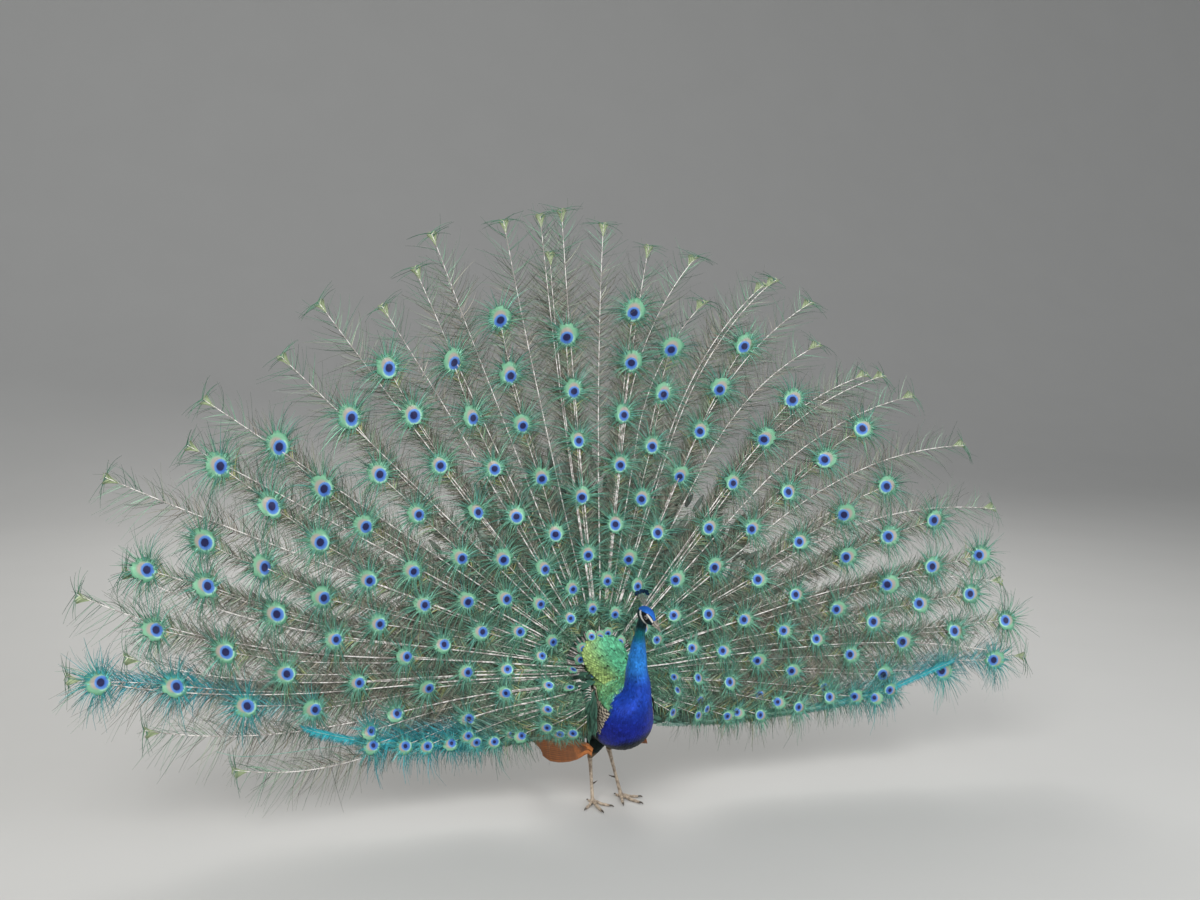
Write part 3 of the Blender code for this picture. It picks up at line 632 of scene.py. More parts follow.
# one row for each eyed feather: angle, radius of its eye and the radius of the eye's pale ring
def eyedFeathers():
    rows = []
    for columns, oddFirst in ((train["columnsRight"], True), (train["columnsLeft"], False)):
        for place, degrees in enumerate(columns):
            odd = (place % 2 == 0) == oddFirst
            first = 1 if odd else 0
            if abs(degrees) > 60.0 and odd:
                first = -1
            for n in range(first, 12, 2):
                share = 1.0 - train["step"] * n - train["stepGrowth"] * n * n
                angle = degrees * (1.0 + train["spread"] * (1.0 - share) ** 2)
                radius = train["reach"] * (1.0 + train["reachAtSides"] * (degrees / 85.0) ** 2) * share
                if radius > 0.145 and fanPlace(angle, radius)[1] > 0.25:
                    size = mix(0.0185, 0.0245, float(smoothStep(radius, 0.15, 0.45)))
                    size += 0.0052 * float(smoothStep(radius, 0.72, 1.02))
                    size -= 0.0030 * float(smoothStep(abs(angle), 60.0, 90.0))
                    rows.append((angle, radius, size))
    rows = np.array(rows)
    rows[:, 0] += np.degrees(random.normal(0.0, train["jitter"], len(rows)) / rows[:, 1])
    rows[:, 1] += random.normal(0.0, train["jitter"], len(rows))
    degrees, radius = keptPlaces(edgeEyes)
    small = np.stack((degrees, radius, mix(0.0170, 0.0205, smoothStep(radius, 0.3, 0.8))), -1)
    return np.concatenate((rows, small))


# angle of a long feather at some share of its length: it leaves straight and leans over near its tip
def longAngle(tip, reach, radius):
    lean = np.where(tip > 5.0, 7.5 * smoothStep(tip, 5.0, 14.0), 5.0 * smoothStep(tip, -62.0, -80.0))
    lean *= 1.0 - 0.6 * smoothStep(tip, 70.0, 95.0)
    near = np.clip((radius - 0.70) / (reach - 0.70), 0.0, 1.0)
    degrees = tip - lean * (1.0 - near ** 1.8)
    return degrees - fanSwirl(degrees, radius)


eyed = eyedFeathers()
longOnes = np.array(longTips)
eyedLift = layerLift(eyed[:, 1]) + random.normal(0.0, 0.0015, len(eyed))
longLift = random.normal(0.0, 0.0010, len(longOnes))
print("train laid out:", len(eyed), "eyed feathers and", len(longOnes), "long ones")


# feathers of the lower edge come forward near their eyes and lie over the sword feathers there
def edgeRise(feather, radius):
    near = smoothStep(eyed[feather, 1] - radius, 0.20, 0.03)
    return train["edgeRise"] * near * (feather >= len(eyed) - len(edgeEyes))


# shafts as tapered tubes with a slight wander
def makeShafts(name, angleAt, reach, liftAt, thick, thin, knots, sides=5):
    share = np.linspace(0.0, 1.0, knots)
    start = np.minimum(train["shaftRoot"], reach * 0.4)[:, None]
    radius = start + (reach[:, None] - start) * share
    wander = random.normal(0.0, train["wander"], len(reach))[:, None] * np.sin(share * math.pi)
    degrees = angleAt(radius) + wander
    points = tubes(trainPoint(degrees, radius, liftAt(radius)), mix(thick, thin, share ** 0.8), sides)
    uv = trainUv(degrees[:, knots // 2], radius[:, knots // 2])
    part = bladePart(points, uv, value=random.random(len(reach)))
    makeBlades(name, [part], shaftFinish, "train_feathers", closed=True)


# loose barbs on the fan; each carries its shade and its shares of green, gold and turquoise
def trainBarbs(degrees, radius, side, lift, length, start, bend, curl, droop, knots=4, width=1.0, twist=34.0,
               value=None, green=1.0, gold=0.0, teal=0.0):
    ahead, across, out = trainAxes(degrees, radius)
    lie = ahead, across * side[:, None], out
    path = bladePaths(trainPoint(degrees, radius, lift), lie, length, start, bend, knots, curl, droop)
    widths = train["barbWidth"] * width * (1.0 - 0.70 * np.linspace(0.0, 1.0, knots))
    points = strips(path, out, widths, random.normal(0.0, twist, len(degrees)))
    value = random.beta(0.75, 0.80, len(degrees)) if value is None else value
    uv = trainUv(degrees, radius)
    return *bladePart(points, uv, value=value, green=green, gold=gold, teal=teal), degrees


# both rows of barbs of every feather, in one table: feather, place from its root and side
def barbRoots(reach, first, gap):
    rows = [np.arange(start, end, gap) for end, start in zip(reach, first)]
    feather = np.tile(np.repeat(np.arange(len(rows)), [len(row) for row in rows]), 2)
    radius = np.concatenate(rows)
    radius = np.concatenate((radius, radius + gap / 2))
    side = np.repeat((-1.0, 1.0), len(feather) // 2)
    return feather, radius + random.normal(0.0, gap * 0.25, len(radius)), side


# slow change along a feather that gathers its barbs in tufts
def tufts(feather, radius, side):
    return np.sin(radius * 190.0 + feather * 2.3 + side) + 0.6 * np.sin(radius * 77.0 + feather * 4.1 - side)


# barbs hang down more at the sides of the fan
def sideDroop(degrees, most):
    return most * smoothStep(np.abs(degrees), 10.0, 60.0) + 0.05


def trainTeal(degrees, radius):
    x, z = fanPlace(degrees, radius)
    low = smoothStep(z - edgeHeight(x), 0.10, 0.0)
    return low * np.where(x < 0.0, smoothStep(x, -0.25, -0.45), 0.75 * smoothStep(x, 0.55, 1.0))


# each pair runs from the lower part of a feather to its eye
eyedVanes = {"first": 0.11, "length": (0.055, 0.088), "start": (52.0, 40.0), "bend": (-26.0, 44.0)}


def makeEyedVanes():
    first = np.minimum(eyedVanes["first"], eyed[:, 1] * 0.6)
    feather, radius, side = barbRoots(eyed[:, 1] - eyed[:, 2] * 0.7, first, train["barbGap"])
    keep = random.random(len(radius)) < mix(0.75, 1.0, smoothStep(radius, 0.18, 0.50))
    feather, radius, side = feather[keep], radius[keep], side[keep]
    count = len(radius)
    degrees, toEye = eyed[feather, 0], eyed[feather, 1] - radius
    near = smoothStep(toEye, 0.11, 0.015)
    tuft = tufts(feather, radius, side)
    length = mix(*eyedVanes["length"], near) * mix(0.45, 1.0, smoothStep(radius, 0.08, 0.42))
    length *= (1.0 + 0.16 * tuft) * random.uniform(0.75, 1.15, count)
    start = mix(*eyedVanes["start"], near) + 7.0 * tuft + random.normal(0.0, 6.0, count)
    bend = mix(*eyedVanes["bend"], near) + random.normal(0.0, 14.0, count)
    green = np.maximum(0.9 * smoothStep(toEye, 0.14, 0.02), 0.85 * smoothStep(radius, 0.55, 0.22))
    green = np.clip(green + 0.14 * tuft + random.normal(0.06, 0.18, count), 0.0, 1.0)
    gold = 0.8 * smoothStep(toEye, 0.085, 0.050) * smoothStep(toEye, 0.020, 0.040)
    gold *= random.random(count) < 0.5
    lift = eyedLift[feather] + edgeRise(feather, radius) + random.normal(0.0, 0.0024, count)
    curl = random.normal(0.02, 0.08, count)
    return trainBarbs(degrees, radius, side, lift, length, start, bend, curl, sideDroop(degrees, 0.12),
                      green=green, gold=gold, teal=trainTeal(degrees, radius))


longVanes = {"first": 0.30, "gap": 0.0024, "bare": 0.035, "length": (0.060, 0.100), "start": (56.0, 44.0)}


def makeLongVanes():
    first = np.full(len(longOnes), longVanes["first"])
    feather, radius, side = barbRoots(longOnes[:, 1] - longVanes["bare"], first, longVanes["gap"])
    tip, reach = longOnes[feather, 0], longOnes[feather, 1]
    keep = random.random(len(radius)) < mix(0.30, 1.0, smoothStep(reach - radius, 0.06, 0.34))
    tip, reach, radius, side, feather = (v[keep] for v in (tip, reach, radius, side, feather))
    count = len(radius)
    degrees, toTip = longAngle(tip, reach, radius), reach - radius
    tuft = tufts(feather + 300, radius, side)
    length = mix(*longVanes["length"], smoothStep(radius, 0.60, 0.95))
    length *= mix(1.0, 0.75, smoothStep(toTip, 0.15, 0.03))
    length *= (1.0 + 0.2 * tuft) * random.uniform(0.7, 1.2, count)
    start = mix(*longVanes["start"], smoothStep(toTip, 0.3, 0.05)) + 8.0 * tuft
    start += random.normal(0.0, 8.0, count)
    green = 0.6 * smoothStep(toTip, 0.26, 0.05) + 0.2 * tuft + random.normal(0.18, 0.2, count)
    lift = layerLift(radius) + longLift[feather] - 0.006 + random.normal(0.0, 0.002, count)
    bend, curl = random.normal(-18.0, 16.0, count), random.normal(0.0, 0.10, count)
    return trainBarbs(degrees, radius, side, lift, length, start, bend, curl, sideDroop(degrees, 0.14),
                      width=0.85, green=np.clip(green, 0.0, 1.0))


# barbs rooted round each eye: long loose ones like a palm leaf, and a short pale halo under them
fringes = (
    {"perEye": 120, "ring": 0.98, "length": (0.055, 0.088), "knots": 5, "width": 1.05, "light": 0.50,
     "rise": 0.0068},
    {"perEye": 100, "ring": 0.84, "length": (0.018, 0.020), "knots": 3, "width": 1.25, "light": 0.78,
     "rise": 0.0088},
)


def makeFringe(fringe):
    feather = np.repeat(np.arange(len(eyed)), fringe["perEye"])
    count = len(feather)
    degrees, radius, size = eyed[feather].T
    around = np.tile(np.linspace(-172.0, 172.0, fringe["perEye"]), len(eyed)) + random.normal(0.0, 2.0, count)
    gather = np.sin(np.radians(around * 11.0 + feather * 40.0))
    around = around + 4.0 * gather
    side = np.where(around < 0.0, -1.0, 1.0)
    around = np.abs(around)
    ahead, aside = np.cos(np.radians(around)), np.sin(np.radians(around))
    reach = size * fringe["ring"] * random.uniform(0.92, 1.06, count)
    rootDegrees, rootRadius = degrees + np.degrees(side * aside * reach / radius), radius + ahead * reach
    length = mix(*fringe["length"], aside) * mix(0.34, 1.0, smoothStep(size, 0.0165, 0.026))
    length *= random.uniform(0.45, 1.15, count) * (1.0 + 0.25 * gather)
    length *= mix(1.0, 0.62, smoothStep(around, 110.0, 160.0))
    start = around * 0.78 + random.normal(0.0, 5.0, count)
    bend = 30.0 * aside + random.normal(0.0, 16.0, count)
    teal = np.clip(random.normal(0.10, 0.12, count) + 0.5 * trainTeal(degrees, radius), 0.0, 1.0)
    lift = eyedLift[feather] + edgeRise(feather, radius) + fringe["rise"] + random.normal(0.0, 0.0010, count)
    value = np.clip(random.normal(fringe["light"], 0.24, count), 0.0, 1.0)
    curl = random.normal(0.02, 0.10, count)
    return trainBarbs(rootDegrees, rootRadius, side, lift, length, start, bend, curl, 0.10, fringe["knots"],
                      fringe["width"], value=value, teal=teal)


# small wedge with two or three swept arms at each long feather's tip
wedge = {"perTip": 44, "depth": 0.040, "length": (0.034, 0.011), "arms": (0.040, 0.078)}


def makeLongTips():
    feather = np.repeat(np.arange(len(longOnes)), wedge["perTip"])
    count = len(feather)
    share = np.tile(np.repeat(np.linspace(0.0, 1.0, wedge["perTip"] // 2), 2), len(longOnes))
    side = np.tile((-1.0, 1.0), count // 2)
    tip, reach = longOnes[feather].T
    radius = reach - mix(wedge["depth"], 0.001, share)
    arms = (share > 0.70) & (random.random(count) < 0.7)
    length = np.where(arms, random.uniform(*wedge["arms"], count), mix(*wedge["length"], share))
    start = np.where(arms, random.normal(74.0, 9.0, count), mix(16.0, 60.0, share))
    bend = np.where(arms, random.normal(24.0, 12.0, count), 8.0)
    lift = layerLift(radius) + longLift[feather] + 0.002 + random.normal(0.0, 0.0008, count)
    green, gold, width = np.where(arms, 0.95, 0.6), np.where(arms, 0.0, 0.35), np.where(arms, 1.1, 1.6)
    curl, value = random.normal(0.0, 0.05, count), np.where(arms, 0.25, 0.8) + random.normal(0.0, 0.1, count)
    return trainBarbs(longAngle(tip, reach, radius), radius, side, lift, length, start, bend, curl, 0.05, 5,
                      width[:, None], 16.0, value, green, gold)


def splitBySector(name, parts, sectors, slotName, nodes=()):
    edges = np.quantile(np.concatenate([part[3] for part in parts]), np.linspace(0.0, 1.0, sectors + 1))
    edges[0], edges[-1] = -400.0, 400.0
    for sector in range(sectors):
        chosen = []
        for points, uv, values, degrees in parts:
            inside = (degrees >= edges[sector]) & (degrees < edges[sector + 1])
            own = {key: value[inside] for key, value in values.items()}
            chosen.append((points[inside], uv[inside], own))
        makeBlades("%s_%02d" % (name, sector + 1), chosen, barbFinish, slotName, () if sector else nodes)


# domed disc of each eye, a little longer than wide, with a ragged edge
disc = {"rings": (0.02, 0.30, 0.55, 0.80, 1.0, 1.16), "ragged": (0.0, 0.0, 0.0, 0.0, 0.5, 1.0), "rough": 0.09,
        "sides": 32, "long": 1.05, "dome": 0.10, "tilt": 0.12, "lift": 0.0080, "core": (0.29, 0.40)}


def makeEyeSpots(name, degrees, radius, size, lift, slotName):
    count, rings, sides = len(degrees), len(disc["rings"]), disc["sides"]
    turn = np.arange(sides) * fullTurn / sides
    reach, ragged = (np.array(disc[key])[None, :, None] for key in ("rings", "ragged"))
    reach = reach * (1.0 + disc["rough"] * ragged * random.standard_normal((count, 1, sides)))
    u, v = reach * np.sin(turn), reach * np.cos(turn) * disc["long"]
    ahead, across, out = trainAxes(degrees, radius)
    lean = random.normal(0.0, disc["tilt"], (count, 2))
    ahead, across = unit(ahead + out * lean[:, :1]), unit(across + out * lean[:, 1:])
    ways = ((across, u), (ahead, v), (out, (1.0 - reach ** 2) * disc["dome"]))
    place = sum(way[:, None, None] * share[..., None] for way, share in ways)
    centre = trainPoint(degrees, radius, lift + disc["lift"])[:, None, None]
    points = centre + size[:, None, None, None] * place
    uv = trainUv(degrees, radius)[:, None, None] + np.stack((u, v), -1) * 0.0075
    core = np.broadcast_to(mix(*disc["core"], smoothStep(size, 0.017, 0.026))[:, None, None], u.shape)
    values = {"disc": np.stack((u, v, np.zeros_like(u)), -1), "coreSize": core}
    makePiece(name, points, closedTube(count, rings, sides)[:2], eyeSpotFinish, slotName, (), uv, values)


# long sword feathers along the lower edge: a shaft with a close band of barbs below and loose ones above
rim = {"ends": {-1: (0.50, 0.72, 0.89), 1: (0.55, 0.85, 1.19)}, "gap": 0.0010, "lift": 0.014, "knots": 60,
       "band": {-1: 0.021, 1: 0.0145}, "above": 0.034, "aboveGap": 2.2, "shaft": (0.0011, 0.0007),
       "bare": ((-0.62, -0.82, -0.97, -1.06, -1.12), (0.232, 0.228, 0.213, 0.205, 0.214))}


# one row of barbs; down is 1 for the band below the shaft and -1 for the loose row above it
def rimBarbs(side, down, end, x, degrees, radius, lift):
    count = int(end / (rim["gap"] if down > 0.0 else rim["gap"] * rim["aboveGap"]))
    t = np.linspace(0.02, 1.0, count)
    degrees, radius, far = along(degrees, t), along(radius, t), np.abs(along(x, t))
    length = (rim["band"][side] if down > 0.0 else rim["above"]) * mix(0.45, 1.0, smoothStep(far, 0.22, 0.45))
    length = length * mix(1.0, 0.5, smoothStep(t, 0.94, 1.0)) * random.uniform(0.65, 1.15, count)
    teal = smoothStep(far, 0.28, 0.46) if side < 0 else smoothStep(far, 0.50, 1.00)
    keep = random.random(count) < mix(0.15, 1.0, smoothStep(far, 0.20, 0.42))
    degrees, radius, length, teal = (v[keep] for v in (degrees, radius, length, teal))
    count = len(teal)
    start, curl = random.normal(48.0, 5.0, count), random.normal(0.0, 0.05, count)
    own = np.clip(teal + random.normal(0.0, 0.08, count), 0.05, 1.0)
    value = np.clip(random.normal(mix(0.35, 0.62, teal), 0.25), 0.0, 1.0)
    return trainBarbs(degrees, radius, np.full(count, side * down), lift, length, start, -14.0, curl, 0.0,
                      width=1.05, twist=16.0, value=value, teal=own)


def makeRim():
    shafts, parts = [], []
    for side in (-1, 1):
        for place, end in enumerate(rim["ends"][side]):
            x = side * np.linspace(0.12, end, rim["knots"])
            degrees, radius = polar(x, edgeHeight(x) + 0.004 * place - 0.002)
            lift = rim["lift"] + 0.0015 * place
            shafts.append(trainPoint(degrees, radius, lift + 0.0012))
            parts += [rimBarbs(side, down, end, x, degrees, radius, lift) for down in (1.0, -1.0)]
    bare = trainPoint(*polar(*rim["bare"]), 0.006)             # one shaft has lost its barbs
    shafts.append(curveThrough(bare, np.linspace(0.0, len(bare) - 1, rim["knots"])))
    path = np.stack(shafts)
    points = tubes(path, mix(*rim["shaft"], np.linspace(0, 1, rim["knots"])), 5)
    uv = np.stack((0.5 + 0.3 * np.sign(path[:, 20, 0]), 0.2 + 0.02 * np.arange(len(path))), -1)
    part = bladePart(points, uv, value=random.random(len(path)))
    makeBlades("rimShafts", [part], rimShaftFinish, "train_rim", closed=True)
    return parts


# sparse dark barbs that hang under the lower edge
hanging = {"count": 330, "rightShare": 0.6, "from": 0.20, "to": 0.98, "length": (0.04, 0.075)}


def makeHanging():
    count = hanging["count"]
    side = np.where(random.random(count) < hanging["rightShare"], -1.0, 1.0)
    x = side * random.uniform(hanging["from"], hanging["to"], count)
    degrees, radius = polar(x, edgeHeight(x) + random.uniform(0.0, 0.02, count))
    length, start = random.uniform(*hanging["length"], count), random.normal(48.0, 16.0, count)
    bend, curl = random.normal(24.0, 16.0, count), random.normal(0.0, 0.12, count)
    green, value = random.uniform(0.2, 0.9, count), random.uniform(0.0, 0.25, count)
    return trainBarbs(degrees, radius, side, 0.010, length, start, bend, curl, 0.25, 5, 0.7,
                      value=value, green=green)


# broad soft feathers that close the train round its root
bed = {"from": 0.075, "to": 0.62, "rowGap": 0.017, "gap": 0.0145, "spread": 150.0, "halfWidth": 0.0080,
       "inner": (0.080, 0.210, 0.160), "outer": (0.170, 0.215, 0.180), "length": (0.030, 0.052)}


def makeTrainBed():
    rows = np.arange(bed["from"], bed["to"], bed["rowGap"])
    counts = (np.radians(2.0 * bed["spread"]) * rows / bed["gap"]).astype(int)
    radius = np.repeat(rows, counts)
    degrees = np.concatenate([np.linspace(-bed["spread"], bed["spread"], n) + bed["spread"] / n * (k % 2)
                              for k, n in enumerate(counts)])
    x, z = fanPlace(degrees, radius)
    edge = z - edgeHeight(x)
    keep = (edge > 0.006) & (random.random(len(x)) < mix(1.0, 0.15, smoothStep(radius, 0.30, 0.60)))
    degrees, radius, edge = degrees[keep], radius[keep], edge[keep]
    count = len(radius)
    ahead, across, out = trainAxes(degrees, radius)
    root = trainPoint(degrees, radius, random.uniform(-0.012, -0.002, count))
    ahead = unit(ahead + (0.0, 0.0, -0.25) * smoothStep(np.abs(degrees), 40.0, 110.0)[:, None])
    level = np.stack(np.broadcast_arrays(np.sign(degrees), -0.25, 0.05), -1)
    ahead = unit(mix(ahead, level, smoothStep(edge, 0.055, 0.015)[:, None]))
    tint = mix(np.array(bed["inner"]), np.array(bed["outer"]), smoothStep(radius, 0.15, 0.5)[:, None])
    length = mix(*bed["length"], smoothStep(radius, 0.1, 0.4)) * random.uniform(0.85, 1.2, count)
    tint = varied(tint, 0.40)
    layFeathers("trainBed", root, (ahead, across, out), length, bed["halfWidth"], tint, bedFinish,
                "train_feathers", start=random.normal(0.0, 8.0, count), rise=0.06, curl=-0.04,
                uv=trainUv(degrees, radius))


trainNodes = ["train_%02d" % (i + 1) for i in range(11)] + ["train_rim_left", "train_rim_right"]
everyEye, everyLong = np.arange(len(eyed)), longOnes[:, :1]
makeShafts("eyedShafts", lambda radius: eyed[:, :1], eyed[:, 1],
           lambda radius: (eyedLift[:, None] + 0.0026 - sunk(eyed[:, :1], radius)
                           + edgeRise(everyEye[:, None], radius)), 0.0019, 0.0012, 24)
makeShafts("longShafts", lambda radius: longAngle(everyLong, longOnes[:, 1:], radius), longOnes[:, 1] - 0.004,
           lambda radius: layerLift(radius) + longLift[:, None] + 0.0024 - sunk(everyLong, radius),
           0.0026, 0.0011, 40, 6)
makeEyeSpots("eyeSpots", *eyed.T, eyedLift + edgeRise(everyEye, eyed[:, 1]), "train_feathers")
vanes = [makeEyedVanes(), makeLongVanes(), *(makeFringe(fringe) for fringe in fringes)]
vanes += [makeLongTips(), makeHanging()]
splitBySector("trainVanes", vanes, 8, "train_feathers", trainNodes)
splitBySector("rimVanes", makeRim(), 2, "train_rim")
makeTrainBed()
print("train made")


# the body's surface, the same as the solids'

# back y and z, front y and z, half width and middle x of each ring, from the rump up to the head
bodyRings = (
    (0.168, 0.366, 0.168, 0.350, 0.0120, 0.0000), (0.145, 0.392, 0.150, 0.315, 0.0450, 0.0000),
    (0.105, 0.408, 0.115, 0.270, 0.0700, 0.0000), (0.050, 0.414, 0.060, 0.228, 0.0870, 0.0000),
    (-0.005, 0.410, -0.010, 0.202, 0.0930, 0.0000), (-0.040, 0.402, -0.070, 0.194, 0.0920, 0.0000),
    (-0.058, 0.398, -0.120, 0.205, 0.0870, 0.0020), (-0.066, 0.392, -0.160, 0.232, 0.0810, 0.0050),
    (-0.070, 0.390, -0.186, 0.275, 0.0705, 0.0055), (-0.072, 0.394, -0.195, 0.320, 0.0585, 0.0105),
    (-0.074, 0.404, -0.193, 0.360, 0.0410, 0.0230), (-0.081, 0.425, -0.183, 0.400, 0.0345, 0.0262),
    (-0.095, 0.454, -0.171, 0.441, 0.0295, 0.0232), (-0.109, 0.489, -0.165, 0.481, 0.0255, 0.0222),
    (-0.122, 0.526, -0.165, 0.520, 0.0200, 0.0208), (-0.132, 0.556, -0.169, 0.550, 0.0152, 0.0205),
    (-0.138, 0.582, -0.175, 0.576, 0.0142, 0.0220), (-0.147, 0.600, -0.176, 0.594, 0.0130, 0.0226),
)
headShape = {"centre": (0.030, -0.172, 0.608), "turn": 26.0, "dip": 28.0, "eyeRadius": 0.0062,
             "eyePlace": (0.0089, 0.0127, 0.0047), "billLength": 0.032}
# distance ahead of the head's middle, half width, top and bottom
headRings = (
    (-0.0315, 0.0047, 0.0063, -0.0053), (-0.0278, 0.0115, 0.0142, -0.0131),
    (-0.0189, 0.0168, 0.0210, -0.0210), (-0.0063, 0.0187, 0.0248, -0.0239),
    (0.0063, 0.0181, 0.0244, -0.0215), (0.0168, 0.0152, 0.0199, -0.0168),
    (0.0252, 0.0113, 0.0137, -0.0128), (0.0326, 0.0079, 0.0084, -0.0097),
)
headTurn, headDip = math.radians(headShape["turn"]), math.radians(headShape["dip"])
headAhead = np.array((math.sin(headTurn), -math.cos(headTurn), -math.tan(headDip))) * math.cos(headDip)
headSide = unit(np.cross(headAhead, (0.0, 0.0, 1.0)))         # the bird's right
headAbove = np.cross(headSide, headAhead)
headAxes = np.stack((headAhead, headSide, headAbove))
headCentre = np.array(headShape["centre"]) + rootShift
coatDepth, headCoatDepth = 0.0022, 0.0008


def headPoint(forward, sideways, up):
    return headCentre + np.stack(np.broadcast_arrays(forward, sideways, up), -1) @ headAxes


def toHead(points):
    return np.moveaxis((points - headCentre) @ headAxes.T, -1, 0)


def bodyPoint(place, turn, grow=0.0):
    row = curveThrough(bodyRings, place)
    top, bottom = row[..., [5, 0, 1]], row[..., [5, 2, 3]]
    reach = (top - bottom) / 2
    reach = reach * (1.0 + grow / np.linalg.norm(reach, axis=-1, keepdims=True))
    side = (row[..., 4:5] + grow) * fanSide
    return rootShift + (top + bottom) / 2 + reach * np.cos(turn)[..., None] + side * np.sin(turn)[..., None]


def headSurface(place, turn, grow=0.0):
    row = curveThrough(headRings, place)
    middle, reach = (row[..., 2] + row[..., 3]) / 2, (row[..., 2] - row[..., 3]) / 2 + grow
    return headPoint(row[..., 0], (row[..., 1] + grow) * np.sin(turn), middle + reach * np.cos(turn))


# how far out a point lies from the head's middle line, 1 on its surface
def headReach(points):
    forward, side, up = toHead(points)
    rows = np.array(headRings)
    half, top, low = (np.interp(forward, rows[:, 0], rows[:, k], 0.001, 0.001) for k in (1, 2, 3))
    return np.hypot(side / half, (up - (top + low) / 2) / np.maximum((top - low) / 2, 0.001))


# axes on a surface: the way the coat lies, across it, and out of it
def surfaceAxes(surface, place, turn):
    ahead = unit(surface(place - 0.05, turn) - surface(place + 0.05, turn))
    across = unit(surface(place, turn + 0.03) - surface(place, turn - 0.03))
    out = unit(np.cross(across, ahead))
    through = surface(place, turn) - surface(place, turn + math.pi)
    out *= np.where((out * through).sum(-1, keepdims=True) < 0.0, -1.0, 1.0)
    return ahead, across, out


legs = {
    "right": {"side": -1, "ankle": (-0.038, 0.055, 0.128), "hub": (-0.043, 0.008, 0.0095), "heading": 2.0},
    "left": {"side": 1, "ankle": (0.026, 0.068, 0.145), "hub": (0.056, 0.030, 0.0095), "heading": 31.0},
}


def legPoints(leg):
    places = (leg["side"] * 0.040, -0.020, 0.262), leg["ankle"], leg["hub"]
    hip, ankle, hub = (np.array(place) + rootShift for place in places)
    return hip, mix(hip, ankle, 0.45) + (0.0, -0.012, 0.0), ankle, hub


# middle line of a thigh and its radii
def thighLine(leg):
    hip, knee, ankle = legPoints(leg)[:3]
    above = ankle + unit(knee - ankle) * 0.004
    line = np.stack((hip, mix(hip, knee, 0.6), knee, mix(knee, above, 0.6), above))
    return line, np.array((0.034, 0.038, 0.032, 0.020, 0.0095))[:, None]


# colour of skin and coat at a place on the body
plumage = {
    # sky: the neck's bright blue, partly its own colour and partly a painted highlight
    "teal": (0.006, 0.150, 0.185), "sky": (0.030, 0.240, 0.740), "royal": (0.014, 0.070, 0.500),
    "ultra": (0.012, 0.026, 0.350), "night": (0.004, 0.010, 0.020), "belly": (0.005, 0.016, 0.014),
    "gold": (0.32, 0.47, 0.15), "jade": (0.12, 0.50, 0.28), "crown": (0.018, 0.150, 0.620),
    "chin": (0.003, 0.022, 0.028), "black": (0.008, 0.008, 0.010), "white": (0.86, 0.86, 0.83),
    "buff": (0.30, 0.22, 0.14), "down": (0.22, 0.19, 0.16), "rump": (0.05, 0.12, 0.05),
}
tone = {key: np.array(value) for key, value in plumage.items()}
# where the blue ends behind, and where the scaled part ends below, over the shoulder
blueLimit = {"z": (0.17, 0.228, 0.243, 0.276, 0.303, 0.335, 0.370, 0.410, 0.452, 0.492, 0.547),
             "y": (-0.070, -0.106, -0.114, -0.129, -0.144, -0.152, -0.130, -0.124, -0.100, -0.085, -0.080)}
scaleLimit = {"y": (-0.147, -0.104, -0.053, 0.017, 0.082), "z": (0.326, 0.338, 0.3545, 0.374, 0.387)}
nightLimit = {"x": (-0.060, -0.042, -0.016, 0.019, 0.052), "z": (0.205, 0.226, 0.248, 0.260, 0.272)}


def blueEdge(z):
    return np.interp(z, blueLimit["z"], blueLimit["y"])


# a colour under layers of others, each with its share
def layered(colour, layers):
    for layer, share in layers:
        colour = mix(colour, layer, share[..., None])
    return colour


def bodyTint(points):
    x, y, z = np.moveaxis(points - rootShift, -1, 0)
    dark = smoothStep(z - np.interp(x, nightLimit["x"], nightLimit["z"]), 0.024, -0.012)
    behind = smoothStep(y - blueEdge(z), 0.0, 0.016) * smoothStep(z, 0.400, 0.385)
    shoulder = mix(tone["gold"], tone["jade"], smoothStep(x + 1.1 * (0.40 - z), -0.055, 0.000)[..., None])
    back = smoothStep(y, -0.01, 0.03) * smoothStep(z, 0.33, 0.37)
    # the sky blue band between the teal throat and the royal blue breast is partly the neck's own blue and
    # partly a painted highlight where its iridescent feathers catch the light
    return layered(tone["sky"], (
        (tone["teal"], smoothStep(z, 0.515, 0.560)), (tone["chin"], smoothStep(z, 0.562, 0.584)),
        (tone["royal"], smoothStep(z, 0.475, 0.405)), (tone["ultra"], smoothStep(z, 0.40, 0.28)),
        (tone["night"], dark), (tone["belly"], behind), (shoulder, shoulderShare(points)),
        (tone["rump"], back)))


# the golden wedge that runs from the back down over the shoulder
def shoulderShare(points):
    y, z = np.moveaxis(points - rootShift, -1, 0)[1:]
    inside = smoothStep(y - blueEdge(z), -0.002, 0.004)
    inside = inside * smoothStep(z - np.interp(y, scaleLimit["y"], scaleLimit["z"]), -0.002, 0.003)
    return inside * smoothStep(z, 0.450, 0.435) * smoothStep(y, 0.10, 0.05)


# brown down of the vent, behind and under the body
def downShare(points):
    return (smoothStep(points[:, 1], 0.07, 0.10) * smoothStep(points[:, 2], 0.36, 0.33))[:, None]


# share of a soft band along a line of places
def lineShare(x, y, places, half, soft=0.0007):
    away = np.full(np.shape(x), 1.0)
    for first, last in zip(np.array(places[:-1]), np.array(places[1:])):
        line = last - first
        t = np.clip(((x - first[0]) * line[0] + (y - first[1]) * line[1]) / (line @ line), 0.0, 1.0)
        away = np.minimum(away, np.hypot(x - first[0] - line[0] * t, y - first[1] - line[1] * t))
    return smoothStep(away, half + soft, half - soft)


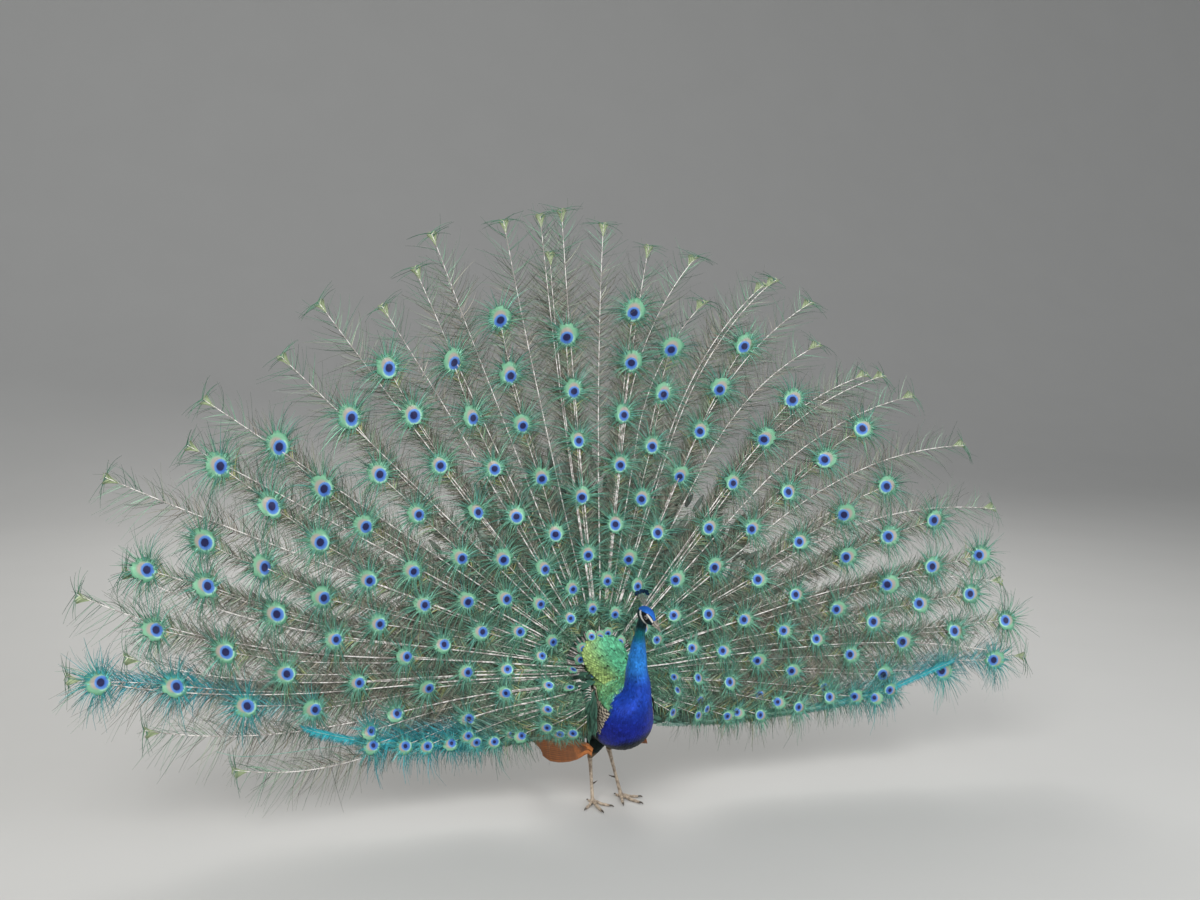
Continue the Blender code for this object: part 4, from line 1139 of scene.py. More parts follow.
# distances ahead and above on the head: the crown's lower edge, and the white lines over and under the eye
headMarks = {"crown": ((-0.030, -0.0145, -0.002, 0.0129, 0.0233, 0.033),
                       (0.0045, 0.0092, 0.0135, 0.0158, 0.0122, 0.0055)),
             "upper": ((0.0095, 0.0135), (0.0170, 0.0110), (0.0245, 0.0070), (0.0325, 0.0025)),
             "lower": ((-0.0145, 0.0075), (-0.0060, -0.0010), (0.0056, -0.0080), (0.0150, -0.0137))}


def headTint(points):
    forward, side, up = toHead(points)
    eyeAhead, eyeAside, eyeUp = headShape["eyePlace"]
    overCrown = up - np.interp(forward, *headMarks["crown"])
    flank = smoothStep(np.abs(side), 0.0030, 0.0060)
    dark = smoothStep(np.hypot(forward - eyeAhead, up - eyeUp), 0.0165, 0.0140)
    dark = dark * smoothStep(overCrown, 0.0006, -0.0006)
    upper = lineShare(forward, up, headMarks["upper"], 0.0022)
    lower = lineShare(forward, up, headMarks["lower"], 0.0038)
    return layered(tone["chin"], (
        (tone["crown"], smoothStep(overCrown, -0.0008, 0.0010)), (tone["black"], dark * flank),
        (tone["white"], np.maximum(upper, lower) * flank)))


skinShape = {"voxel": 0.0030, "softer": 6, "rump": (0.0, 0.160, 0.268), "rumpSize": (0.054, 0.050, 0.072)}


# point of a ball of radius 1, at a turn round its upright axis and a lean from its top
def ballPoint(turn, lean):
    x, y = np.sin(lean) * np.cos(turn), np.sin(lean) * np.sin(turn)
    return np.stack(np.broadcast_arrays(x, y, np.cos(lean)), -1)


def makeSkin():
    turn = np.arange(56) * fullTurn / 56
    place = np.linspace(0.0, len(bodyRings) - 1.001, 110)
    headPlace = np.linspace(0.0, len(headRings) - 1.001, 46)
    blocks = [bodyPoint(place[:, None], turn[None], -coatDepth),
              headSurface(headPlace[:, None], turn[None], -headCoatDepth)]
    for leg in legs.values():
        path, radii = (curveThrough(rows, np.linspace(0, 4, 26))[None] for rows in thighLine(leg))
        blocks.append(tubes(path, radii[..., 0] - coatDepth, 28)[0])
    ball = ballPoint(turn, np.linspace(0.05, math.pi - 0.05, 18)[:, None])
    blocks.append((ball * skinShape["rumpSize"])[:, ::-1] + rootShift + skinShape["rump"])
    faces = joinedFaces([(1, *block.shape[:2]) for block in blocks], True)
    skin = makePiece("skin", np.concatenate([block.reshape(-1, 3) for block in blocks]), faces, skinFinish)
    bpy.context.view_layer.objects.active = skin
    remesh = skin.modifiers.new("one skin", "REMESH")
    remesh.mode = "VOXEL"
    remesh.voxel_size = skinShape["voxel"]
    skin.modifiers.new("soften", "SMOOTH").iterations = skinShape["softer"]
    mesh = bpy.data.meshes.new_from_object(skin.evaluated_get(bpy.context.evaluated_depsgraph_get()))
    skin.modifiers.clear()
    skin.data = mesh
    mesh.shade_smooth()
    mesh.materials.clear()
    mesh.materials.append(skinFinish)
    points = np.zeros(len(mesh.vertices) * 3, np.float32)
    mesh.vertices.foreach_get("co", points)
    points = points.reshape(-1, 3).astype(float)
    colour = mix(bodyTint(points), headTint(points), smoothStep(headReach(points), 1.35, 1.10)[:, None])
    feathered = smoothStep(points[:, 2], 0.165, 0.145) * smoothStep(points[:, 1], -0.10, -0.04)
    colour = mix(colour, tone["buff"] * 0.6, feathered[:, None])
    addValue(mesh, "tint", mix(colour, tone["down"], downShare(points)))
    corners = np.zeros(len(mesh.loops), np.int32)
    mesh.loops.foreach_get("vertex_index", corners)
    addBakeMap(mesh, bodyUv(points)[corners])
    dress(skin, "belly_plumage", ("trunk", "neck", "head", "thigh_left", "thigh_right", "vent"))
    print("skin made:", len(mesh.polygons), "faces")


# unwrap round the bird's own upright axis: angle and height
def bodyUv(points):
    x, y, z = np.moveaxis(points, -1, 0)
    middleX = np.interp(z, (0.1, 0.3, 0.45, 0.62), (-0.006, -0.002, 0.023, 0.022))
    middleY = np.interp(z, (0.1, 0.3, 0.42, 0.62), (0.02, -0.05, -0.165, -0.19))
    angle = np.arctan2(x - middleX, y - middleY)
    return np.stack((0.5 + angle / fullTurn * 0.98, np.clip(z / 0.68, 0.0, 1.0)), -1)


# steps between the points of a line, and the length of the line up to each point
def lineSteps(points):
    return np.linalg.norm(np.diff(points, axis=0), axis=1)


def lengths(steps):
    return np.concatenate(((0.0,), np.cumsum(steps)))


# staggered rows of feather roots on a surface
def coatRows(surface, first, last, spacing, width):
    places, turns = [], []
    samples = np.linspace(first, last, 400)
    probe = np.array((0.0, math.pi / 2, math.pi, 1.5 * math.pi))
    middle = surface(samples[:, None], probe[None]).mean(1)
    front = surface(samples, np.full(400, math.pi))
    length = lengths(np.maximum(lineSteps(middle), lineSteps(front)))
    rowAt = 0.0
    while rowAt < length[-1]:
        place = np.interp(rowAt, length, samples)
        turn = np.linspace(0.0, fullTurn, 60)
        around = lengths(lineSteps(surface(np.full(60, place), turn)))
        share = (place - first) / (last - first)
        count = max(6, int(around[-1] / mix(*width, share)))
        at = (np.arange(count) + 0.5 * (len(places) % 2)) / count * around[-1]
        turns.append(np.interp(at, around, turn))
        places.append(np.full(count, place))
        rowAt += mix(*spacing, share)
    return np.concatenate(places), np.concatenate(turns)


# place, root and way of each feather of a coat
def coatRoots(surface, coat, grow):
    place, turn = coatRows(surface, *coat["rows"])
    return place, surface(place, turn, grow), surfaceAxes(surface, place, turn)


# first and last place, then the gaps between rows and within a row at each end
breast = {"rows": (4.3, 17.0, (0.0085, 0.0036), (0.0092, 0.0034)), "length": (0.024, 0.0085),
          "halfWidth": (0.0076, 0.0026), "scaleLength": 0.0130, "scaleHalfWidth": 0.0046,
          "scaleWay": (0.0, 0.75, 0.65)}
belly = {"rows": (0.35, 4.4, (0.010, 0.0105), (0.011, 0.0115)), "length": (0.026, 0.034), "halfWidth": 0.0082}
thigh = {"rows": (1.2, 3.9, (0.0075, 0.005), (0.009, 0.0055)), "length": (0.014, 0.020), "halfWidth": 0.0052}
vent = {"count": 900, "size": (0.052, 0.048, 0.070), "way": (0.0, 0.35, -1.0), "length": (0.018, 0.032),
        "halfWidth": 0.0040}
face = {"rows": (0.25, 6.7, (0.0016, 0.0012), (0.0020, 0.0015)), "length": (0.0036, 0.0018),
        "halfWidth": (0.0013, 0.0010)}
# shape of the small stiff scales of back and shoulder
scaleShape = {"rise": 0.32, "curl": -0.16, "camber": 0.45, "profile": (0.6, 0.95, 1.05, 0.95, 0.45),
              "knots": 6, "columns": 5}


def makeNeckAndBreast():
    place, root, lie = coatRoots(bodyPoint, breast, -coatDepth)
    keep = headReach(root) > 1.04
    root, ahead, across, out, place = (v[keep] for v in (root, *lie, place))
    first, last = breast["rows"][:2]
    share = (place - first) / (last - first)
    length = mix(*breast["length"], share) * random.uniform(0.9, 1.1, len(root))
    width = mix(*breast["halfWidth"], share)
    tint = bodyTint(root + out * 0.002)
    scaly = shoulderShare(root) > 0.5
    y, z = root[:, 1] - rootShift[1], root[:, 2]
    behind = (y > blueEdge(z) + 0.004) & (z < 0.345) & ~scaly
    barred = behind & (z > 0.247 + 0.02 * random.random(len(root)))
    for name, chosen, finish, slotName in (("breastFeathers", ~scaly & ~barred, blueFinish, "breast_plumage"),
                                           ("sideFeathers", barred, barredFinish, "wing_coverts")):
        lie = ahead[chosen], across[chosen], out[chosen]
        colour, start = varied(tint[chosen]), random.normal(0.0, 4.0, chosen.sum())
        layFeathers(name, root[chosen], lie, length[chosen], width[chosen], colour, finish, slotName,
                    start=start, rise=0.13, curl=-0.05, own={"bars": 2.0})
    root, out = root[scaly], out[scaly]
    way = np.array(breast["scaleWay"])
    ahead = unit(way - out * (out @ way)[:, None])
    speckled = varied(mix(tint[scaly], tone["gold"], random.uniform(0.0, 0.45, (len(root), 1))), 0.30)
    layFeathers("shoulderScales", root, (ahead, np.cross(out, ahead), out), breast["scaleLength"],
                breast["scaleHalfWidth"], speckled, scaleFinish, "back_scales",
                start=random.normal(0.0, 8.0, len(root)), **scaleShape)
    print("breast feathers:", len(place))


def makeBellyCoat():
    root, lie = coatRoots(bodyPoint, belly, -coatDepth)[1:]
    tint = mix(varied(bodyTint(root + lie[2] * 0.002)), tone["down"], downShare(root))
    length = random.uniform(*belly["length"], len(root))
    layFeathers("bellyFeathers", root, lie, length, belly["halfWidth"], tint, dullFinish, "belly_plumage",
                start=random.normal(0.0, 8.0, len(root)))


def makeThighCoat():
    rows = []
    for leg in legs.values():
        line, radii = thighLine(leg)

        def surface(place, turn):
            centre, radius = curveThrough(line, place), curveThrough(radii, place) - coatDepth
            ahead = unit(curveThrough(line, place + 0.05) - curveThrough(line, place - 0.05))
            side = unit(np.cross(ahead, (0.0, -1.0, 0.15)))
            cosine, sine = np.cos(turn)[..., None], np.sin(turn)[..., None]
            return centre + radius * (side * cosine + np.cross(side, ahead) * sine)

        place, turn = coatRows(surface, *thigh["rows"])
        ahead = unit(surface(place + 0.04, turn) - surface(place - 0.04, turn))
        root = surface(place, turn)
        out = unit(root - curveThrough(line, place))
        rows.append((root, ahead, unit(np.cross(out, ahead)), out))
    root, *lie = (np.concatenate(row) for row in zip(*rows))
    low = smoothStep(root[:, 2], 0.165, 0.145)[:, None]
    tint = varied(mix(np.broadcast_to(tone["belly"], root.shape), tone["buff"] * 0.75, low))
    length = random.uniform(*thigh["length"], len(root)) * mix(0.55, 1.0, smoothStep(root[:, 2], 0.135, 0.19))
    layFeathers("thighFeathers", root, lie, length, thigh["halfWidth"], tint, dullFinish, "thigh_feathers",
                start=random.normal(0.0, 10.0, len(root)), rise=0.08, knots=4)


def makeVentDown():
    count = vent["count"]
    turn, lean = random.uniform(0.0, fullTurn, count), np.arccos(random.uniform(-0.95, 0.5, count))
    out = ballPoint(turn, lean)
    root = rootShift + skinShape["rump"] + out * vent["size"]
    keep = root[:, 1] > 0.085
    root, out, way = root[keep], out[keep], np.array(vent["way"])
    ahead = unit(way - out * (out @ way)[:, None])
    tint = varied(np.broadcast_to(tone["down"], root.shape), 0.3)
    length, start = random.uniform(*vent["length"], len(root)), random.normal(0.0, 22.0, len(root))
    bend = random.normal(0.0, 30.0, len(root))
    layFeathers("ventDown", root, (ahead, unit(np.cross(out, ahead)), out), length, vent["halfWidth"], tint,
                dullFinish, "vent_down", start=start, bend=bend, rise=0.35, curl=-0.15,
                profile=(0.5, 1.0, 0.9, 0.6, 0.15))


def makeHeadCoat():
    root, lie = coatRoots(headSurface, face, -headCoatDepth)[1:]
    eyeAhead, eyeAside, eyeUp = headShape["eyePlace"]
    eyes = headPoint(eyeAhead, np.array((1.0, -1.0)) * eyeAside, eyeUp)
    clear = np.linalg.norm(root[:, None] - eyes, axis=-1).min(1) > headShape["eyeRadius"] + 0.0012
    root, *lie = (v[clear] for v in (root, *lie))
    tint = headTint(root)
    bare = tint.min(1) > 0.5
    length = np.where(bare, *face["length"][::-1]) * random.uniform(0.85, 1.15, len(root))
    tint = varied(tint, 0.10)
    layFeathers("headFeathers", root, lie, length, np.where(bare, *face["halfWidth"][::-1]), tint, blueFinish,
                "head_plumage", start=random.normal(0.0, 6.0, len(root)), knots=4)
    print("head feathers:", len(root))


makeSkin()
makeNeckAndBreast()
makeBellyCoat()
makeThighCoat()
makeVentDown()
makeHeadCoat()


# eyes with lids

lid = {"thickness": (0.0, 0.00035, 0.00062, 0.00055, 0.0003, 0.0001), "opening": 47.0, "step": 6.0,
       "squeeze": 0.26}


def eyeShell(side, radius, low, high, rows, sides, squeeze=0.0):
    forward, sideways, up = headShape["eyePlace"]
    centre = headPoint(forward, side * sideways, up)
    axis = unit(headSide * side + headAhead * 0.16)
    right = unit(np.cross(headAbove, axis))
    above = np.cross(axis, right)
    turn = np.arange(sides) * fullTurn / sides
    opening = low * (1.0 - squeeze * np.abs(np.sin(turn)))
    lean = np.radians(opening + (high - opening) * np.linspace(0, 1, rows)[:, None])[..., None]
    ring = np.sin(lean) * (right * np.cos(turn)[:, None] + above * np.sin(turn)[:, None])
    return centre + radius * (axis * np.cos(lean) + ring)


def makeEyes():
    sides, radius = 32, headShape["eyeRadius"]
    for side, name in ((1, "right"), (-1, "left")):
        ball = bladePart(eyeShell(side, radius - 0.0002, 2.0, 172.0, 18, sides)[None], wholeMap, 0.9, 3.0)
        makeBlades("eyeball_" + name, [ball], eyeFinish, "eye", ("eye_" + name,), True)
        rings = []
        for k, thickness in enumerate(lid["thickness"]):
            low = lid["opening"] + lid["step"] * k
            rings.append(eyeShell(side, radius + thickness, low, low + 1.0, 2, sides, lid["squeeze"])[0])
        points, uv, values = bladePart(np.stack(rings)[None], wholeMap, 0.9)
        faces = gridFaces(1, len(rings), sides, ring=True)
        makePiece("eyelid_" + name, points, faces, lidFinish, "head_plumage", (), uv, values)


makeEyes()


# bill with nostrils

# heights of ridge, edge and keel and the half width from the face to the tip
bill = {"ridge": (0.0078, 0.0075, 0.0060, 0.0030, -0.0016, -0.0072),
        "edge": (-0.0006, -0.0010, -0.0016, -0.0030, -0.0056, -0.0086),
        "keel": (-0.0088, -0.0082, -0.0075, -0.0068, -0.0064, -0.0062),
        "widths": (0.0070, 0.0062, 0.0051, 0.0038, 0.0024, 0.0008),
        "gap": 0.0004, "lowerLength": 0.80, "lowerWidth": 0.86, "nostrils": (0.0016, 0.0008)}


def makeBill():
    rows, sides = 26, 24
    turn = np.arange(sides) * fullTurn / sides
    across = np.sign(np.sin(turn)) * np.abs(np.sin(turn)) ** 0.85
    curves = np.stack([bill[key] for key in ("ridge", "edge", "keel", "widths")], -1)
    for upper, name in ((True, "bill_upper"), (False, "bill_lower")):
        place = np.linspace(0.0, 5.0 if upper else 3.999, rows)
        ridge, edge, keel, width = curveThrough(curves, place).T[..., None]
        top, low = (ridge, edge) if upper else (edge - bill["gap"], keel)
        width = width * (1.0 if upper else bill["lowerWidth"])
        share = np.linspace(0, 1 if upper else bill["lowerLength"], rows)[:, None]
        forward = headRings[-1][0] - 0.0010 + (headShape["billLength"] + 0.001) * share
        half = (top - low) / 2
        points = headPoint(forward, width * across, low + half + half * np.cos(turn))[None]
        makeBlades(name + "Horn", [bladePart(points, wholeMap, 0.9)], hornFinish, "horn", (name,), True)
    slots = []
    t = np.linspace(0, 1, 8)
    for side in (-1, 1):
        for k, size in enumerate(bill["nostrils"]):
            aside = side * (0.0049 - 0.0005 * t + 0.0002 * k)
            path = headPoint(0.0345 + 0.0050 * t, aside, 0.0030 + 0.0002 * k)
            slots.append(tubes(path[None], size * 0.5 * np.sin(mix(0.25, math.pi - 0.25, t)), 8))
    part = bladePart(np.concatenate(slots), np.full((4, 2), 0.5))
    makeBlades("nostrils", [part], clawFinish, "horn", closed=True)


makeBill()


# crest of bare shafts with spatula tips

crest = {"count": 25, "root": (-0.0200, 0.0185), "lean": 49.0, "spread": 66.0, "length": 0.047,
         "shaft": (0.00038, 0.00020), "tip": 0.0115, "tipWidth": 0.0038, "tint": (0.006, 0.035, 0.085),
         "hairs": 10, "hairLength": 0.0042, "hairWidth": 0.00012}


def makeCrest():
    count = crest["count"]
    order = np.arange(count)
    turn = np.radians(crest["lean"] + crest["spread"] * (order / (count - 1) - 0.5))
    aside = np.radians(random.normal(0.0, 5.0, count))
    back = 0.004 * np.sin(turn - math.radians(crest["lean"]))
    root = headPoint(crest["root"][0] - back, 0.0012 * np.sin(aside), crest["root"][1])
    way = unit(np.stack((-np.sin(turn), np.sin(aside), np.cos(turn)), -1) @ headAxes)
    middle = np.abs(order - count / 2) / (count / 2)
    reach = crest["length"] * (1.0 - 0.06 * middle) * random.uniform(0.90, 1.0, count)
    out = np.broadcast_to(headSide, way.shape)
    bend, curl = random.normal(0.0, 4.0, count), random.normal(0.0, 0.03, count)
    path = bladePaths(root, (way, unit(np.cross(out, way)), out), reach, 0.0, bend, 8, curl)
    shafts = tubes(path, mix(*crest["shaft"], np.linspace(0, 1, 8)), 5, headSide)
    part = bladePart(shafts, bodyUv(root), value=random.random(count))
    makeBlades("crestShafts", [part], crestShaftFinish, "crest_feathers", ("crest",), True)
    tint = varied(np.broadcast_to(crest["tint"], way.shape), 0.25)
    base = path[:, -1] - way * crest["tip"] * 0.65
    base, way, out, tint = (np.tile(v, (2, 1)) for v in (base, way, out, tint))
    layFeathers("crestTips", base, (way, np.cross(out, way), out), crest["tip"], crest["tipWidth"], tint,
                blueFinish, "crest_feathers", rise=0.0, curl=0.0, twist=np.repeat((18.0, -40.0), count),
                knots=8, profile=(0.08, 0.25, 0.75, 1.0, 0.85, 0.3))
    share = np.tile(np.linspace(0.15, 0.70, crest["hairs"]), count)[:, None]
    which = np.repeat(order, crest["hairs"])
    side = np.where(np.arange(len(which)) % 2, 1.0, -1.0)[:, None]
    root, way, out = mix(path[which, 0], path[which, -1], share), way[which], out[which]
    blades = bladePaths(root, (way, np.cross(out, way) * side, out), crest["hairLength"], 34.0, -10.0, 3)
    part = bladePart(strips(blades, out, crest["hairWidth"]), bodyUv(root), value=random.random(len(which)),
                     green=0.0, teal=0.0)
    makeBlades("crestBarbs", [part], barbFinish, "crest_feathers")


makeCrest()


# the scaled shield of the back

mantle = {"lineY": (-0.074, -0.062, -0.030, 0.004, 0.034, 0.056, 0.070, 0.078),
          "lineZ": (0.376, 0.396, 0.410, 0.422, 0.437, 0.454, 0.471, 0.487),
          "widths": (0.034, 0.044, 0.057, 0.066, 0.069, 0.068, 0.057, 0.024),
          "rows": 36, "column": 0.0076, "length": (0.0120, 0.0150), "halfWidth": (0.0050, 0.0060)}
# small half-hidden eyes round the shield's rim, x and height
shieldEyes = (
    (-0.101, 0.392), (-0.077, 0.420), (-0.067, 0.453), (-0.039, 0.488), (-0.012, 0.484),
    (0.0145, 0.494), (0.055, 0.466), (0.088, 0.420), (-0.0613, 0.380), (-0.117, 0.345),
)


# the ways along and down a sheet at places on it
def sheetWays(surface, u, v):
    sideways = unit(surface(u + 0.02, v) - surface(u - 0.02, v))
    return sideways, unit(surface(u, v + 0.02) - surface(u, v - 0.02))


# a plain sheet of a surface under its feathers
def makeSheet(name, surface, rows, columns, material, slotName, rootUv, patch, **own):
    u, v = np.meshgrid(np.linspace(0, 1, columns), np.linspace(0, 1, rows))
    part = bladePart(surface(u, v)[None], np.array([rootUv]), patch, **own)
    makeBlades(name, [part], material, slotName)


def mantlePoint(u, v):
    across = (u - 0.5) * 2.0
    x = across * along(mantle["widths"], v)
    drop = mix(9.0, 1.2, np.sqrt(np.clip(v, 0.0, 1.0))) * x * x
    y, z = along(mantle["lineY"], v) + 1.5 * x * x * v, along(mantle["lineZ"], v) - drop
    return np.stack((x, y, z), -1) + rootShift


def makeMantle():
    us, vs = [], []
    for row, v in enumerate(np.linspace(0.02, 0.96, mantle["rows"])):
        count = max(4, int(2.0 * float(along(mantle["widths"], v)) / mantle["column"]))
        u = (np.arange(count) + (0.25 if row % 2 else 0.75)) / count
        us.append(u[u < 0.985])
        vs.append(np.full(len(us[-1]), v))
    u, v = np.concatenate(us), np.concatenate(vs)
    across, ahead = sheetWays(mantlePoint, u, v)
    out = np.cross(across, ahead)
    out *= np.where(out[:, 1:2] > 0.0, -1.0, 1.0)
    root, ahead = mantlePoint(u, v) - out * 0.001, unit(ahead + across * ((u - 0.5) * 0.7)[:, None])
    jade = smoothStep(u + 0.25 * (v - 0.5), 0.08, 0.62)[:, None]
    tint = varied(mix(tone["gold"], tone["jade"], jade), 0.30)
    length, halfWidth = mix(*mantle["length"], v), mix(*mantle["halfWidth"], v)
    layFeathers("backScales", root, (ahead, across, out), length, halfWidth, tint, scaleFinish, "back_scales",
                ("mantle",), **scaleShape)
    makeSheet("backBed", lambda u, v: mantlePoint(u, v) - (0.0, -0.001, 0.001), 14, 12, dullFinish,
              "back_scales", (0.5, 0.68), 0.05, tint=tone["rump"][None])
    degrees, radius = keptPlaces(shieldEyes)
    makeEyeSpots("shieldEyes", degrees, radius, np.full(len(radius), 0.0142), 0.026, "back_scales")


makeMantle()
print("body made")


# wings

# lines of each sheet from front to back: its top and its lower edge; then the rows of coverts
wing = {"reach": (0.086, 0.098, 0.101, 0.100, 0.096, 0.092), "front": -0.115, "back": 0.205,
        "top": (0.345, 0.378, 0.386, 0.384, 0.374, 0.354, 0.325, 0.290),
        "low": (0.310, 0.252, 0.225, 0.212, 0.206, 0.204, 0.212, 0.240),
        "v": (0.06, 0.18, 0.31, 0.45, 0.60, 0.76), "size": (0.024, 0.028, 0.034, 0.042, 0.055, 0.075),
        "count": (16, 15, 14, 13, 12, 12), "bars": (2.5, 3.0, 3.5, 4.5, 6.0, 8.0),
        "profile": (0.5, 0.85, 1.0, 1.0, 0.92, 0.7, 0.2), "slender": 0.30}
quills = {"front": -0.090, "back": 0.305, "top": (0.216, 0.208, 0.200, 0.190, 0.172, 0.150, 0.120),
          "low": (0.200, 0.155, 0.124, 0.102, 0.090, 0.082, 0.092), "count": 11, "knots": 14,
          "tint": (0.80, 0.250, 0.045), "halfWidth": (0.0115, 0.0150), "shaft": (0.0009, 0.0004),
          "low edge": {"right": 0.97, "left": 0.42}, "start": {"right": 0.0, "left": 0.22}}
sidesOfBird = ((-1, "right"), (1, "left"))


def sheetYZ(sheet, u, v):
    return mix(sheet["front"], sheet["back"], u), mix(along(sheet["top"], u), along(sheet["low"], u), v)


def wingPoint(side, u, v):
    y, z = sheetYZ(wing, u, v)
    height = (z - 0.305) / np.where(z > 0.305, 0.118, 0.17)
    x = along(wing["reach"], (y + 0.115) / 0.315) * np.sqrt(np.maximum(0.05, 1.0 - height ** 2))
    return np.stack((side * x, y, z), -1) + rootShift


def quillPoint(side, u, v):
    y, z = sheetYZ(quills, u, v)
    x = mix(0.096, 0.118, u) + 0.030 * np.clip(u, 0.0, 1.0) ** 3 + 0.05 * (z - 0.15)
    return np.stack((side * x, y, z), -1) + rootShift


# the ways back and down on a wing, and out from the body
def wingWays(side, u, v):
    back, down = sheetWays(lambda u, v: wingPoint(side, u, v), u, v)
    out = np.cross(back, down)
    return back, down, out * np.where(out[:, :1] * side < 0.0, -1.0, 1.0)


def makeWings():
    for side, name in sidesOfBird:
        order = np.repeat(np.arange(6), wing["count"])
        u = np.concatenate([(np.arange(count) + 0.5 * (layer % 2)) / count * mix(0.99, 0.80, layer / 5)
                            for layer, count in enumerate(wing["count"])])
        v, size, bars = (np.array(wing[key])[order] for key in ("v", "size", "bars"))
        back, down, out = wingWays(side, u, v)
        ahead = unit(back + down * mix(0.75, 0.35, v)[:, None])
        root = wingPoint(side, u, v) + out * (0.0052 - 0.0007 * order)[:, None]
        lie = unit(ahead + out * 0.02), np.cross(out, ahead), out
        path = bladePaths(root, lie, size, random.normal(0.0, 3.0, len(root)), 0.0, 7, -0.03)
        points = strips(path, out, (size * wing["slender"])[:, None] * wing["profile"], 0.0, 5, 0.2)
        part = bladePart(points, bodyUv(root), 0.012, value=random.random(len(root)), bars=bars)
        makeBlades("wingCoverts_" + name, [part], barredFinish, "wing_coverts", ("wing_" + name,))
        makeSheet("wingBed_" + name, lambda u, v: wingPoint(side, u, v), 12, 22, barredFinish, "wing_coverts",
                  (0.5 + 0.25 * side, 0.45), 0.06, value=0.0, bars=9.0)


# green feathers of the train that hang over the wings, with a few pale shafts
veil = {"from": {"right": 0.03, "left": 0.40}, "level": 0.0085, "size": 0.052, "halfWidth": 0.0078,
        "middle": (0.14, -0.18), "dark": (0.060, 0.185, 0.130), "light": (0.110, 0.230, 0.170),
        "ends": ((1.0, 0.22), (1.0, 0.46), (0.97, 0.68), (0.83, 0.86), (0.66, 0.92), (0.50, 0.90),
                 (0.36, 0.86)),
        "knots": 16, "shaft": (0.0014, 0.0010)}


def makeVeil():
    shafts = []
    t = np.linspace(0.0, 1.0, veil["knots"])
    for side, name in sidesOfBird:
        first = veil["from"][name]
        grids = np.meshgrid(np.arange(first, 1.02, 0.042), np.arange(-0.02, 0.90, 0.075))
        u, v = (grid.ravel() for grid in grids)
        u, v = u + random.normal(0.0, 0.010, u.size), v + random.normal(0.0, 0.015, v.size)
        back, down, out = wingWays(side, u, v)
        awayU, awayV = 0.32 * (u - veil["middle"][0]), 0.17 * (v - veil["middle"][1])
        ahead, out = unit(back * awayU[:, None] + down * awayV[:, None]), unit(out)
        tint = mix(np.array(veil["dark"]), np.array(veil["light"]), random.random(len(u))[:, None])
        root = wingPoint(side, u, v) + out * (veil["level"] - 0.003 * v[:, None])
        length = veil["size"] * random.uniform(0.8, 1.2, len(u))
        tint = varied(tint, 0.30)
        layFeathers("veil_" + name, root, (ahead, np.cross(out, ahead), out), length, veil["halfWidth"], tint,
                    bedFinish, "train_feathers", start=random.normal(0.0, 7.0, len(u)), rise=0.05, curl=-0.03)
        for k, (endU, endV) in enumerate(veil["ends"]):
            if endU > first + 0.1:
                startU = first + 0.02 + 0.018 * (len(veil["ends"]) - k)
                place = wingPoint(side, mix(startU, endU, t), mix(0.02 * k, endV, t))
                shafts.append(place + (side * (veil["level"] + 0.0045), 0.0, 0.0))
    path = np.stack(shafts)
    points = tubes(path, mix(*veil["shaft"], t), 5)
    part = bladePart(points, bodyUv(path[:, 5]), value=random.random(len(path)))
    makeBlades("veilShafts", [part], shaftFinish, "train_feathers", closed=True)


# half width along a long quill: it widens from its root and narrows at its tip
def quillWidths(root, full, tip, t, rootEnd, tipStart):
    return mix(root, full, smoothStep(t, 0.0, rootEnd)) * mix(1.0, tip, smoothStep(t, tipStart, 1.0))


def makePrimaries():
    count = quills["count"]
    share, t = np.linspace(0.0, 1.0, count)[:, None], np.linspace(0.0, 1.0, quills["knots"])
    for side, name in sidesOfBird:
        startU = mix(-0.08, 0.06, share) + quills["start"][name]
        u = mix(startU, mix(0.80, 1.0, smoothStep(share, 0.0, 0.9)), t)
        low = quills["low edge"][name]                     # the left wing is held a little higher
        startV = mix(0.64 * low, 0.30 * low, share)
        path = quillPoint(side, u, mix(startV, mix(low, 0.10, share), t ** 0.8))
        path[..., 0] += side * (0.0022 - 0.00040 * np.arange(count))[:, None]
        out = np.broadcast_to((float(side), 0.0, 0.12), (count, 3))
        widths = quillWidths(*quills["halfWidth"], 0.30, t, 0.35, 0.86)
        tint = varied(np.broadcast_to(quills["tint"], (count, 3)), 0.10)
        vanes = strips(path, out, widths, 6.0 * side, 5, 0.10)
        part = bladePart(vanes, bodyUv(path[:, 5]), 0.02, tint=tint, value=random.random(count))
        makeBlades("primaries_" + name + "Quills", [part], quillFinish, "flight_feathers",
                   ("primaries_" + name,))
        stems = tubes(path + out[:, None] * 0.0012, mix(*quills["shaft"], t), 5, (1.0, 0.0, 0.0))
        part = bladePart(stems, bodyUv(path[:, 5]), value=random.random(count), tint=tint * 0.45)
        makeBlades("quillShafts_" + name, [part], quillFinish, "flight_feathers", closed=True)


makeWings()
makeVeil()
makePrimaries()


# brown tail that props the train from behind

tail = {"pivot": (0.0, 0.137, 0.362), "lean": 10.0, "root": 0.05, "length": 0.43, "count": 20,
        "halfSpread": 76.0, "halfWidth": 0.021, "cup": 0.05, "tint": (0.115, 0.085, 0.058),
        "shaft": (0.0019, 0.0006)}


